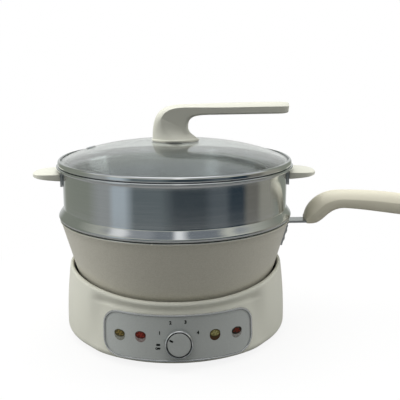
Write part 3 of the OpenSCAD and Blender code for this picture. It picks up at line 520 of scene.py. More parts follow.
@dataclass(frozen=True)
class Print(Finish):
    """Screen-printed ink: a flat colour with the speckle of the mesh."""

    speckle: float = 0.5
    shine: float = 0.15

    def dress(self, tree: Tree, shader: Node) -> None:
        """Adds the speckle."""
        self.tone(tree, shader, noise(tree, self.speckle, 1.0))
        shader.inputs["Specular IOR Level"].default_value = self.shine


# Warm white with a soft satin glow and no hard mirror image.
IVORY = Moulded("moulded_ivory_abs", "#e4e4d7", "#dfdfd1", 0.36)
# The same plastic from a yellower batch, creamier where it turns from the light.
CREAM = Moulded("moulded_cream_abs", "#e8e4d0", "#e2ddc8", 0.36)
# Near black and dull, so that hidden parts read as dark. The well liner in it darkens the gap round the pot,
# and the ring in the knob's groove is painted shade for the shaded gap round the cap.
CHARCOAL_AND_SHADE = Moulded("moulded_black_nylon_and_painted_shade", "#1d1d1f", "#151516", 0.55)
# Black without a highlight, with a coarse dry grain.
RUBBER = Moulded("moulded_black_rubber", "#262627", "#1c1c1c", 0.8, depth=0.02)
# Pale milky grey, softer than the plastic above it.
SILICONE = Moulded("moulded_grey_silicone", "#c6c5bd", "#bcbbb3", 0.5)
# Dark red with a waxy shine along the lead.
SHEATH = Moulded("extruded_red_pvc", "#8f2a24", "#7d211c", 0.45)
# Greyish beige whose fine flakes glitter and whose edges shine in the side light.
CHAMPAGNE = Coated("sprayed_champagne_enamel", "#d7d4c7", "#cdcabc", 0.36, metallic=0.16)
# Dark speckled grey with a dull gloss.
NONSTICK = Coated("sprayed_nonstick_coat", "#4b4a47", "#33322f", 0.5, flake=1.4)
# Cool silver grey, nearly matt, with a very fine sparkle.
PANEL_SILVER = Coated("sprayed_silver_lacquer", "#c1c5c2", "#b6bab7", 0.46, metallic=0.12, flake=0.5)
# A thin bright line where the coat stops at the turned edge.
BRIGHT_EDGE = Cast("turned_aluminium_edge", "#dcdcd6", "#cfcfc9", 0.22, metallic=1.0, depth=0.004)
# Mirror-like sheet that draws the room out into upright light and dark bands.
STEEL = Brushed("brushed_stainless", "#d2d5d7", "#c8cbcd", 0.12, metallic=1.0, spread=0.02, drawn=0.95)
# The same sheet left satin inside, where the room only shows as a soft glow.
SATIN = Brushed("satin_stainless", "#cfd2d4", "#c4c7c9", 0.24, metallic=1.0, spread=0.03, drawn=1.0)
# Clear mirror edge with a white line over a black one.
POLISHED = Cast("polished_stainless", "#dcdedf", "#d0d3d4", 0.06, metallic=1.0, cloud=30.0, depth=0.001)
# Blurred grey sheen with lines along the strip.
STAMPED = Brushed("stamped_stainless", "#c9cbcc", "#b5b8ba", 0.3, metallic=1.0, marks=Brushing.ALONG)
# Grey metal with a cloudy sheen and no clear direction.
SPUN = Brushed("spun_stainless", "#c4c7c9", "#b2b6b8", 0.28, metallic=1.0, marks=Brushing.FACE)
# Pale grey, as even as frosted metal.
BLASTED = Cast("blasted_stainless", "#d4d6d7", "#c6c9ca", 0.5, metallic=1.0, depth=0.01)
# Hard bright mirror with black and white edges.
CHROME = Cast("bright_chrome_plate", "#e3e5e7", "#d3d6d9", 0.07, metallic=1.0, cloud=20.0, depth=0.001)
# Soft grey metal, slightly pitted.
ALUMINIUM = Cast("cast_aluminium", "#b4b6b8", "#9a9c9f", 0.42, metallic=1.0)
# Warm yellow metal with a clean turned shine.
BRASS = Cast("turned_brass", "#c9a659", "#b08d45", 0.25, metallic=1.0, depth=0.004)
# Clear, with a trace of green and sharp reflections at a low angle.
GLASS = ToughenedGlass("toughened_glass", "#f8fbf9", "#f2f7f4", 0.012, ior=1.42)
# Flat black print without shine.
BLACK_INK = Print("black_ink", "#0e0e0e", "#161616", 0.6)


def make_piece(
    bm: Mesh, name: str, body: str, slot: str, *finishes: Finish, stands_for: str = "", sharp: float = 32.0
) -> bpy.types.Object:
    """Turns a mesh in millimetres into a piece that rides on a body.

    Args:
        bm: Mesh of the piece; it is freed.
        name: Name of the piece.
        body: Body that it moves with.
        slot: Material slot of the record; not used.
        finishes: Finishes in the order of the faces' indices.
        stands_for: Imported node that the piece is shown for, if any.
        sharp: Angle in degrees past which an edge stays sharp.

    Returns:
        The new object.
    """
    bmesh.ops.scale(bm, vec=(MM, MM, MM), verts=bm.verts)
    for face in bm.faces:
        face.smooth = True
    for edge in bm.edges:
        edge.smooth = not edge.is_manifold or edge.calc_face_angle(0.0) < math.radians(sharp)
    obj = add_object(name, mesh_data(bm, name))
    for finish in finishes:
        obj.data.materials.append(made_material(finish))
    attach(obj, body)
    if stands_for:
        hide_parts(stands_for)
    LOG.info("%s: %d faces on %s", name, len(obj.data.polygons), body)
    return obj


# The object's own sizes that several pieces share


@dataclass(frozen=True)
class Stack:
    """Heights and the flared pot line that the tiers share."""

    pot_low: float = 33.3
    pot_rim: float = 143.7
    pot_rim_r: float = 142.0
    pot_thick: float = 2.5
    flare: float = 15.8
    steamer_low: float = 144.0
    steamer_top: float = 208.5
    lid_low: float = 208.8

    def pot_r(self, z: float) -> float:
        """Outer radius of the pot's flared wall at a height."""
        return self.pot_rim_r - (self.pot_rim - z) * math.tan(math.radians(self.flare))

    def pot_inset(self) -> float:
        """Level distance through the pot's flared wall."""
        return self.pot_thick / math.cos(math.radians(self.flare))


STACK = Stack()


@dataclass(frozen=True)
class Face:
    """The leaning cone that carries the panel, and the knob's axis on it."""

    low_r: float = 140.0
    low_z: float = 11.0
    tilt: float = 10.0
    width: float = 166.0
    height: float = 47.5
    corner: float = 16.0
    knob_z: float = 30.5

    def radius(self, z: float) -> float:
        """Radius of the face at a height."""
        return self.low_r - (z - self.low_z) * math.tan(math.radians(self.tilt))

    def outline(self, grow: float) -> list[Point]:
        """Sideways place and height of points round the panel, grown by a distance."""
        middle = self.low_z + self.height / 2
        around = rounded_outline(self.width + 2 * grow, self.height + 2 * grow, self.corner + grow)
        return [(x, z + middle) for x, z in around]

    def spot(self, x: float, z: float, lift: float) -> Vector:
        """Point of the face seen straight from the front.

        Args:
            x: Sideways place.
            z: Height.
            lift: Distance off the face.

        Returns:
            The point in the object's frame.
        """
        r = self.radius(z) + lift
        return Vector((x, -math.sqrt(r * r - x * x), z))

    def axis(self) -> Matrix:
        """Placement whose +Z runs out along the knob's axis."""
        spot = Matrix.Translation((0, -self.radius(self.knob_z), self.knob_z))
        return spot @ Matrix.Rotation(math.radians(90 - self.tilt), 4, "X")


FACE = Face()


@dataclass
class HeatingBase:
    """Ivory housing with its saddle rim, the panel's pad and the inlet's window."""

    wall: float = 137.5
    draw: float = 4.5
    span: float = 68.0
    low: float = 4.4
    edge: float = 7.0
    thick: float = 2.6
    rows: tuple[float, ...] = (13.0, 20.0, 25.0, 31.0, 43.0, 49.0, 54.0, 57.5, 59.6)
    rim_side: float = 87.0
    rim_swell: float = 1.3
    rim_front: float = 73.5
    rim_gap: float = 2.2
    rim_lip: float = 4.5
    rim_round: float = 3.0
    rim_front_r: float = 131.8
    pad_half: float = 39.13
    pad_blend: float = 11.0
    pad_top: float = 61.0
    pad_extra: float = 2.0
    shoulder: float = 4.5
    groove: float = 1.1
    pad_sunk: float = 0.4
    inlet_z: float = 27.0
    inlet_half_w: float = 17.5
    inlet_half: float = 10.35
    steps: int = 192

    def rim_z(self, angle: float) -> float:
        """Height of the saddle rim at an angle from the front."""
        swell = abs(math.sin(math.radians(angle))) ** (2 * self.rim_swell)
        return mix(self.rim_front, self.rim_side, swell)

    def pad_share(self, angle: float) -> float:
        """Share of the panel's pad in the wall at an angle from the front."""
        away = abs((angle + 180) % 360 - 180)
        return 1 - smooth((away - self.pad_half) / self.pad_blend)

    def wall_r(self, z: float) -> float:
        """Radius of the barrel wall at a height."""
        return self.wall - self.draw * (max(z - self.low - self.edge, 0) / self.span) ** 2

    def outer_r(self, angle: float, z: float) -> float:
        """Radius of the housing's outside at an angle and a height."""
        pad = FACE.radius(z) - self.pad_sunk - self.groove * smooth((z - self.pad_top) / self.shoulder)
        return mix(self.wall_r(z), pad, self.pad_share(angle))

    def window(self) -> Point:
        """Lowest and highest point of the inlet's window."""
        return self.inlet_z - self.inlet_half, self.inlet_z + self.inlet_half

    def section(self, angle: float) -> list[Point]:
        """Closed outline of the housing's wall.

        Args:
            angle: Angle from the front in degrees.

        Returns:
            Radius and height pairs, as many at every angle.
        """
        share = self.pad_share(angle)
        rim = self.rim_z(angle)
        inside = STACK.pot_r(rim) + self.rim_gap
        base_z = self.low + self.edge
        foot = (self.outer_r(angle, base_z) - self.edge, base_z)
        crest = mix(self.wall_r(rim - self.rim_round), self.rim_front_r, share)
        neck, ledge = rim - self.rim_lip, self.pad_top + self.shoulder
        rows = sorted([*self.rows, *self.window()])
        shoulder = [mix(self.pad_top, ledge, s) for s in (0.0, 0.17, 0.34, 0.5, 0.67, 0.84, 1.0)]
        points = arc(foot, self.edge, -90, 0, 8)
        points += [(self.outer_r(angle, z), z) for z in rows + shoulder]
        for s in (0.2, 0.4, 0.6, 0.8):
            z = mix(ledge, rim - self.rim_round, s)
            front = mix(self.outer_r(0, ledge), self.rim_front_r, smooth(s))
            points.append((mix(self.wall_r(z), front, share), z))
        middle, half = (crest + inside) / 2, (crest - inside) / 2
        points += [(middle + half * c, rim - self.rim_round * (1 - s)) for c, s in arc((0, 0), 1, 0, 180, 14)]
        points += [(inside, neck), (self.outer_r(angle, ledge) - self.thick, neck)]
        back = self.thick + share * self.pad_extra
        points += [(self.outer_r(angle, z) - back, z) for z in reversed(rows)]
        points.append((foot[0], self.low + self.thick))
        return points

    def build(self) -> None:
        """Builds the housing: a spun section, shaped to saddle and pad, with the inlet's window cut."""
        bm, verts, edges = drawn_loop([(0.0, -r, z) for r, z in self.section(0)])
        place = bm.verts.layers.int["place"]
        spin(bm, verts + edges, self.steps)
        for vert in bm.verts:
            turn = math.atan2(vert.co.x, -vert.co.y)
            r, z = self.section(math.degrees(turn))[vert[place]]
            vert.co = (r * math.sin(turn), -r * math.cos(turn), z)
        (low, high), half = self.window(), self.inlet_half_w
        spots = [(face, face.calc_center_median()) for face in bm.faces]
        window = [f for f, c in spots if c.y > 0 and abs(c.x) < half and low < c.z < high]
        bmesh.ops.delete(bm, geom=window, context="FACES")
        bmesh.ops.bridge_loops(bm, edges=[e for e in bm.edges if e.is_boundary])
        bmesh.ops.recalc_face_normals(bm, faces=bm.faces)
        make_piece(bm, "housing", "base", "ivory_plastic", IVORY, stands_for="base_shell", sharp=40)


@dataclass
class SensorSpring:
    """Coil spring that holds the sensor's cap up; the piece is wound at one length and moves with the sensor.
    """

    wire: float = 1.1
    turns: int = 5
    ring_steps: int = 24
    mean_r: float = 8.0
    low: float = 15.8
    high: float = 31.3
    travel: float = 3.0

    def build(self) -> None:
        """Winds the spring round its post."""
        rings = self.ring_steps * self.turns
        rise = self.high - self.low - self.wire
        up = Vector((0, 0, 1))
        loops: list[list[Vector]] = []
        for i in range(rings + 1):
            turn = math.tau * i / self.ring_steps
            out = Vector((math.cos(turn), math.sin(turn), 0))
            spot = out * self.mean_r + up * (self.low + self.wire / 2 + rise * i / rings)
            loops.append([spot + out * x + up * z for x, z in arc((0, 0), self.wire / 2, 0, 315, 7)])
        coil = make_piece(
            skinned(loops), "sensor_coil", "sensor", "brushed_steel", SPUN,
            stands_for="sensor_spring", sharp=60,
        )
        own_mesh(coil)


@dataclass(frozen=True)
class FoodPicture:
    """One small round picture on the panel: a bowl with something in it."""

    name: str
    angle: float
    height: float
    bowl: str
    rim: str
    food: str
    garnish: str


PICTURES = (
    FoodPicture("stew", -28.85, 33.5, "#b0b2aa", "#4a4832", "#574a2c", "#a48f50"),
    FoodPicture("broth", -18.1, 34.8, "#b8b0ac", "#4c2420", "#6a281e", "#b0443a"),
    FoodPicture("noodles", 17.3, 35.4, "#5a3c28", "#38301f", "#9c965f", "#b8b27e"),
    FoodPicture("hotpot", 28.85, 33.5, "#c4c2bc", "#33312b", "#28150f", "#9c3c28"),
)
# Text on the dial and its direction from the knob's axis, in degrees from the right.
NUMBERS = (("1", 155), ("2", 113), ("3", 71), ("4", 24))


@dataclass
class ControlPanel:
    """Silver panel with its bright frame, printed marks and knob.

    The bar and the pointer are given as width, height and corner radius.
    """

    thick: float = 2.0
    plate_gap: float = 0.1
    strip: int = 4
    strip_end: int = 78
    frame_w: float = 1.6
    frame_edge: float = 0.35
    frame_break: float = 0.1
    bevel: float = 0.04
    proud: float = 1.1
    mark_lift: float = 0.06
    layer_gap: float = 0.3
    bold: float = 0.3
    number_size: float = 5.0
    off_size: float = 3.0
    off_angle: float = 198.0
    off_r: float = 24.3
    bar: Spot = (4.3, 2.3, 0.3)
    bar_angle: float = 188.0
    bar_r: float = 22.9
    picture_r: float = 6.1
    garnish_bits: int = 7
    dial_r: float = 23.2
    knob_r: float = 15.5
    knob_h: float = 13.0
    knob_steps: int = 96
    cap_r: float = 12.7
    cap_low: float = 11.62
    groove_r: float = 13.9
    shade_ring_top: float = 12.35
    pointer: Spot = (4.4, 2.0, 0.6)
    pointer_r: float = 9.6
    pointer_top: float = 12.97
    pointer_deep: float = 0.4
    pointer_angle: float = 152.0
    golden: float = math.pi * (3 - math.sqrt(5))

    def bend(self, bm: Mesh) -> Mesh:
        """The mesh, drawn flat in XZ with its lift along -Y, bent onto the leaning face."""
        for vert in bm.verts:
            vert.co = FACE.spot(vert.co.x, vert.co.z, -vert.co.y)
        return bm

    def plate(self) -> None:
        """Builds the panel: a rounded plate, cut into strips so that it bends, with its back drawn in."""
        bm = flat([(x, 0.0, z) for x, z in FACE.outline(-self.plate_gap)])
        for x in range(-self.strip_end, self.strip_end + 1, self.strip):
            geom = list(bm.verts) + list(bm.edges) + list(bm.faces)
            bmesh.ops.bisect_plane(bm, geom=geom, plane_co=(x, 0, 0), plane_no=(1, 0, 0), dist=1e-4)
        thicken(bm, (0.0, self.thick, 0.0))
        self.bend(bm)
        make_piece(bm, "panel_plate", "base", "panel_paint", PANEL_SILVER, stands_for="control_panel")

    def bright_frame(self) -> None:
        """Builds the chrome frame: a flat band with a round outer edge, carried round the plate."""
        soft, nick, inner = self.frame_edge, self.frame_break, self.proud - self.bevel
        section = [(0.0, -self.thick), (0.0, inner - nick), (nick, inner)]
        section += arc((self.frame_w - soft, self.proud - soft), soft, 105, 0, 6)
        section.append((self.frame_w, -self.thick))
        loops = [[FACE.spot(x, z, lift) for x, z in FACE.outline(grow)] for grow, lift in section]
        bm = skinned(loops, ring=True)
        make_piece(bm, "panel_frame", "base", "chrome", CHROME, stands_for="panel_bezel", sharp=30)

    def lettering(self, text: str, angle: float, radius: float, size: float) -> None:
        """Prints a short text on the panel.

        Args:
            text: What is printed.
            angle: Direction from the knob's axis in degrees from the right.
            radius: Distance from the knob's axis.
            size: Height of the type.
        """
        words = bpy.data.curves.new("type", "FONT")
        words.body = text
        words.size = size
        words.offset = self.bold
        words.align_x = words.align_y = "CENTER"
        maker = add_object("type", words)
        bpy.context.view_layer.update()
        mesh = bpy.data.meshes.new_from_object(maker.evaluated_get(bpy.context.evaluated_depsgraph_get()))
        bpy.data.objects.remove(maker)
        bm = bmesh.new()
        bm.from_mesh(mesh)
        bpy.data.meshes.remove(mesh)
        a = math.radians(angle)
        rise = math.cos(math.radians(FACE.tilt))
        for vert in bm.verts:
            x, y = vert.co.x + radius * math.cos(a), vert.co.y + radius * math.sin(a)
            vert.co = (x, -self.mark_lift, FACE.knob_z + y * rise)
        make_piece(self.bend(bm), f"dial_mark_{text.lower()}", "base", "black_plastic", BLACK_INK)

    def off_bar(self) -> None:
        """Prints the small bar at the dial's rest mark."""
        a = math.radians(self.bar_angle)
        x0, z0 = self.bar_r * math.cos(a), FACE.knob_z + self.bar_r * math.sin(a)
        outline = rounded_outline(*self.bar, steps=3, runs=(2, 1))
        bm = flat([(x + x0, -self.mark_lift, z + z0) for x, z in outline])
        make_piece(self.bend(bm), "dial_mark_bar", "base", "black_plastic", BLACK_INK)

    def picture(self, item: FoodPicture) -> None:
        """Prints one round picture: a bowl, its rim, the food and some garnish, each a thin layer.

        Args:
            item: What the picture shows and where it is.
        """
        r, z0 = self.picture_r, item.height
        x0 = FACE.radius(z0) * math.sin(math.radians(item.angle))
        up = r * 0.32
        # Half-width, half-height, place across and up, and number of the ink of each layer.
        layers = [(r, r, 0.0, 0.0, 0), (r * 0.98, r * 0.68, 0.0, up, 1), (r * 0.86, r * 0.56, 0.0, up, 2)]
        for k in range(self.garnish_bits):
            out, turn = 0.68 * r * math.sqrt((k + 0.3) / self.garnish_bits), k * self.golden
            layers.append((r * 0.18, r * 0.12, out * math.cos(turn), up + 0.6 * out * math.sin(turn), 3))
        bm = bmesh.new()
        for i, (wide, tall, across, rise, ink) in enumerate(layers):
            before = set(bm.faces)
            for vert in bmesh.ops.create_circle(bm, cap_ends=True, segments=32, radius=1.0)["verts"]:
                x, z = vert.co.x * wide + across, vert.co.y * tall + rise
                vert.co = (x + x0, -self.mark_lift * (1 + self.layer_gap * i), z + z0)
            for face in set(bm.faces) - before:
                face.material_index = ink
        for face in bm.faces:
            face.normal_update()
            if face.normal.y > 0:
                face.normal_flip()
        tones = (("bowl", item.bowl, item.rim), ("rim", item.rim, item.rim), ("food", item.food, item.rim),
                 ("garnish", item.garnish, item.food))
        inks = [Print(f"{item.name}_{part}_ink", *pair, 0.45, speckle=1.2) for part, *pair in tones]
        make_piece(self.bend(bm), f"picture_{item.name}", "base", "panel_paint", *inks)

    def knob(self) -> None:
        """Builds the chrome knob, a black ring of painted shade in the groove round its silver cap, and the
        pointer.
        """
        place, steps = FACE.axis(), self.knob_steps
        r, groove, low = self.knob_r, self.groove_r, self.cap_low
        skirt = [(3.0, 5.4), (8.4, 5.4), (8.4, 0.8), (15.0, 0.8), (r, 1.3), (r, 11.4), (15.42, 11.9),
                 (15.2, 12.35), (14.85, 12.75), (14.45, self.knob_h), (14.1, 12.95), (groove, 12.7),
                 (groove, 11.6), (3.0, 11.6)]
        bm = placed(turned(skirt, steps), place)
        make_piece(bm, "knob_skirt", "knob", "chrome", CHROME, stands_for="knob_body")
        # The black ring in the groove is painted shade: it stands for the dark gap and the dark reflection
        # round the cap.
        r, edge, top = self.cap_r, groove - 0.02, self.shade_ring_top
        bm = placed(turned([(r, low), (edge, low), (edge, top), (r, top)], steps), place)
        make_piece(bm, "knob_shade_ring", "knob", "black_plastic", CHARCOAL_AND_SHADE)
        cap = [(0.0, low), (r, low), (r, 12.5), (r - 0.25, 12.85), (r - 0.7, 12.95), (8.0, 12.85),
               (0.0, 12.8)]
        bm = placed(turned(cap, steps, closed=False), place)
        make_piece(bm, "knob_face", "knob", "panel_paint", PANEL_SILVER, stands_for="knob_cap")
        outline = rounded_outline(*self.pointer, steps=4, runs=(2, 1))
        bm = flat([(x + self.pointer_r, y, self.pointer_top) for x, y in outline])
        thicken(bm, (0.0, 0.0, -self.pointer_deep))
        bm = placed(bm, place @ Matrix.Rotation(math.radians(self.pointer_angle), 4, "Z"))
        make_piece(bm, "knob_pointer", "knob", "black_plastic", BLACK_INK)

    def build(self) -> None:
        """Builds the panel, its frame, the marks, the pictures and the knob."""
        self.plate()
        self.bright_frame()
        for text, angle in NUMBERS:
            self.lettering(text, angle, self.dial_r, self.number_size)
        self.lettering("OFF", self.off_angle, self.off_r, self.off_size)
        self.off_bar()
        for item in PICTURES:
            self.picture(item)
        self.knob()


@dataclass
class Pot:
    """Champagne pot with its rim bead, rivets and long grip."""

    corner: float = 46.0
    rows: tuple[float, ...] = (90.0, 105.0, 120.0, 132.0)
    bead: float = 0.4
    bead_h: float = 2.6
    bare_h: float = 0.75
    floor_top: float = 60.0
    floor_r: float = 100.0
    tang_z: float = 132.2
    tang_t: float = 2.7
    tang_gap: float = 0.35
    grip_x: float = 163.4
    grip_l: float = 172.0
    grip_t: float = 21.5
    grip_w: float = 30.0
    grip_rise: float = 18.5
    grip_tail: float = 0.3
    grip_flank: float = 0.12
    grip_power: float = 2.2
    grip_neck: float = 0.8
    rivet_r: float = 4.0
    rivet_head: float = 4.2
    rivet_drops: Point = (12.5, 22.5)

    def wall(self) -> None:
        """Builds the pot's wall, coated outside and in, with a bare bright edge on the rim."""
        top, base, flare, inset = STACK.pot_rim, STACK.pot_low, STACK.flare, STACK.pot_inset()
        arc_z = base + self.corner
        centre = (STACK.pot_r(arc_z) - self.corner / math.cos(math.radians(flare)), arc_z)
        low, lip, thick = top - self.bead_h, STACK.pot_rim_r + self.bead, STACK.pot_thick
        outside = [(0.0, base)] + arc(centre, self.corner, -90, -flare, 28)
        outside += [(STACK.pot_r(z), z) for z in (*self.rows, low - 0.4)]
        outside += arc((lip - 1.0, low + 1.2), 1.0, -70, 0, 4) + arc((lip - 1.1, top - 1.1), 1.1, 0, 90, 6)
        inside = [(STACK.pot_rim_r - inset + 0.6, top), (STACK.pot_r(top - 0.6) - inset, top - 0.6)]
        inside += [(STACK.pot_r(z) - inset, z) for z in reversed(self.rows)]
        inside += arc(centre, self.corner - thick, -flare, -90, 28) + [(0.0, base + thick)]
        bm = turned(outside + inside, closed=False)
        for face in bm.faces:
            c, normal = face.calc_center_median(), face.normal
            inward = normal.x * c.x + normal.y * c.y < -0.01
            floor = c.z < self.floor_top and normal.z > 0.5 and math.hypot(c.x, c.y) < self.floor_r
            if c.z > top - self.bare_h:
                face.material_index = 2
            elif inward or floor:
                face.material_index = 1
        coats = (CHAMPAGNE, NONSTICK, BRIGHT_EDGE)
        make_piece(bm, "pot_wall", "pot", "champagne_coat", *coats, stands_for="pot_body")

    def rivets(self) -> None:
        """Builds two domed rivets through the bracket and the wall."""
        bm = bmesh.new()
        r, outer = self.rivet_r, self.tang_gap + self.tang_t
        crown = outer + self.rivet_head
        dome = [(0.0, crown), (1.4, crown - 0.1), (2.6, crown - 0.45), (3.5, crown - 1.1), (r, crown - 2.0),
                (r, outer), (2.0, outer), (2.0, -2.55), (r, -2.55), (3.4, -3.3), (2.2, -3.7), (0.0, -3.85)]
        lean = Matrix.Rotation(math.radians(90 + STACK.flare), 4, "Y")
        for drop in self.rivet_drops:
            z = self.tang_z - drop
            place = Matrix.Translation((STACK.pot_r(z), 0, z)) @ lean
            mesh = mesh_data(placed(turned(dome, 40, closed=False), place), "rivet")
            bm.from_mesh(mesh)
            bpy.data.meshes.remove(mesh)
        make_piece(bm, "rivet_heads", "pot", "chrome", CHROME, stands_for="handle_rivets")

    def grip(self) -> None:
        """Builds the long grip along its two edge curves, with a round end."""
        x, low, deep = self.grip_x, self.tang_z - self.tang_t / 2, self.grip_t
        end, palm, crown = x + self.grip_l, low + self.grip_rise, low + self.grip_rise + deep
        top = (
            [(x, low + 0.37 * deep), (x + 1, low + 1.1 * deep), (x + 17.5, crown - 0.4), (x + 42.1, crown)],
            [(x + 42.1, crown), (x + 76, crown + 0.5), (end - 42, crown - 0.12 * deep),
             (end, crown - 0.8 * deep)],
        )
        under = (
            [(x + 2, low - 1), (x + 24, low - 4), (x + 24, palm), (x + 48.2, palm)],
            [(x + 48.2, palm), (x + 80, palm - 1.8), (end - 47, palm - 0.54 * deep),
             (end - 4, palm - 0.66 * deep)],
        )
        tail, start = self.grip_tail, 2 - self.grip_tail
        shares = [i / 20 for i in range(34)]
        shares += [start + tail * math.sin(math.pi / 2 * i / 14) for i in range(1, 15)]
        loops = []
        for t in shares:
            k = min(int(t), 1)
            high, base = bezier(top[k], t - k), bezier(under[k], t - k)
            close = mix(0.2, 1, math.sqrt(max(1 - (max(t - start, 0) / tail) ** 2.4, 0)))
            middle, tall = (high + base) / 2, mix(0.35, 1, close)
            width = self.grip_w * mix(self.grip_neck, 1, smooth(t / 0.3)) * close
            edges = middle + (high - middle) * tall, middle + (base - middle) * tall
            loops.append(grip_section(*edges, width, self.grip_flank, self.grip_power))
        bm = skinned(loops)
        make_piece(bm, "long_grip", "pot", "ivory_plastic", CREAM, stands_for="handle_grip", sharp=50)

    def build(self) -> None:
        """Builds the wall, the rivets and the grip."""
        self.wall()
        self.rivets()
        self.grip()


@dataclass
class Steamer:
    """Stainless ring with its seat bead and rolled rim, and the two ears."""

    wall_r: float = 137.5
    thick: float = 1.0
    bead_r: float = 143.6
    bead_h: float = 18.5
    bead_round: float = 3.2
    bead_tuck: float = 3.5
    bead_start: float = 0.02
    bead_run: float = 0.62
    bead_soft: float = 0.1
    spigot_h: float = 16.0
    spigot_gap: float = 2.4
    lip: float = 5.0
    lip_round: float = 1.5
    seat_round: float = 2.0
    bend: float = 6.0
    curl: float = 1.1
    ear_l: float = 36.0
    ear_w: float = 56.0
    ear_t: float = 12.0
    ear_drop: float = 13.0
    ear_gap: float = 0.6
    ear_rise: float = 0.6
    ear_thin: float = 0.55
    ear_flank: float = 0.45
    ear_power: float = 3.6
    ear_rows: tuple[float, ...] = (
        0.0, 0.05, 0.12, 0.2, 0.3, 0.4, 0.5, 0.6, 0.68, 0.76, 0.83, 0.88, 0.92, 0.95, 0.975, 0.99, 1.0
    )
    plate_t: float = 2.8

    def path(self) -> list[Point]:
        """Centre line of the sheet, from the floor's lip to the curled rim."""
        half = self.thick / 2
        low = STACK.steamer_low - self.spigot_h
        wall = STACK.pot_r(low) - STACK.pot_inset() - self.spigot_gap - half
        seat, out, middle = STACK.steamer_low + half, self.bead_r - half, self.wall_r - half
        rim = STACK.steamer_top - half - self.bend
        points: list[Point] = [(wall - self.lip, low + half), (wall - self.lip / 2, low + half)]
        points += arc((wall - self.lip_round, low + half + self.lip_round), self.lip_round, -90, 0, 6)
        points += arc((wall + self.seat_round, seat - self.seat_round), self.seat_round, 180, 90, 6)
        for c, s in arc((0, 0), 1, -90, 0, 10):
            points.append((out - self.bead_tuck * (1 - c), seat + self.bead_round * (1 + s)))
        for i in range(1, 17):
            s = i / 16
            rise = self.bead_round + (self.bead_h - self.bead_round - 1) * s
            lean = min(max((s - self.bead_start) / self.bead_run, 0), 1)
            points.append((mix(out, middle, mix(lean, smooth(lean), self.bead_soft)), seat + rise))
        points += [(middle, mix(seat + self.bead_h, rim, s)) for s in (0.3, 0.6, 0.9)]
        points += arc((middle + self.bend, rim), self.bend, 174, 90, 14)
        points += arc((middle + self.bend, rim + self.bend - self.curl), self.curl, 60, -60, 8)
        return points

    def ring(self) -> None:
        """Builds the ring, bright outside and satin inside."""
        bm = turned(sheet_outline(self.path(), self.thick))
        for face in bm.faces:
            c = face.calc_center_median()
            if face.normal.x * c.x + face.normal.y * c.y < 0 and math.hypot(c.x, c.y) < self.wall_r:
                face.material_index = 1
        make_piece(bm, "steamer_ring", "steamer", "brushed_steel", STEEL, SATIN, stands_for="steamer_wall")

    def ear(self, side: int, name: str, node: str) -> None:
        """Builds one ear grip.

        Args:
            side: 1 for the long handle's side, -1 for the other.
            name: Name of the piece.
            node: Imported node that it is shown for.
        """
        root = self.wall_r + self.ear_gap + self.plate_t
        tip = self.wall_r + self.ear_l
        level = STACK.steamer_top - self.ear_drop
        lag = root - math.sqrt(root * root - (self.ear_w / 2) ** 2)
        loops = []
        for s in self.ear_rows:
            close = math.sqrt(1.001 - s**self.ear_power)
            middle = Vector((mix(root, tip, s), level + self.ear_rise * s))
            half = Vector((0, self.ear_t / 2 * mix(1, self.ear_thin, s) * mix(0.45, 1, close)))
            width = self.ear_w * mix(0.2, 1, close)
            loop = grip_section(middle + half, middle - half, width, self.ear_flank, self.ear_power)
            if s == 0.0:
                loop = [Vector((math.sqrt(root * root - p.y * p.y), p.y, p.z)) for p in loop]
            elif s < 0.5:
                loop = [p - Vector(((1 - s / 0.5) * lag * (2 * p.y / self.ear_w) ** 2, 0, 0)) for p in loop]
            loops.append(loop)
        bm = skinned(loops)
        if side < 0:
            bmesh.ops.rotate(bm, cent=(0, 0, 0), matrix=Matrix.Rotation(math.pi, 3, "Z"), verts=bm.verts)
        make_piece(bm, name, "steamer", "ivory_plastic", IVORY, stands_for=node, sharp=50)

    def build(self) -> None:
        """Builds the ring and both ears."""
        self.ring()
        self.ear(1, "ear_right", "ear_grip_right")
        self.ear(-1, "ear_left", "ear_grip_left")


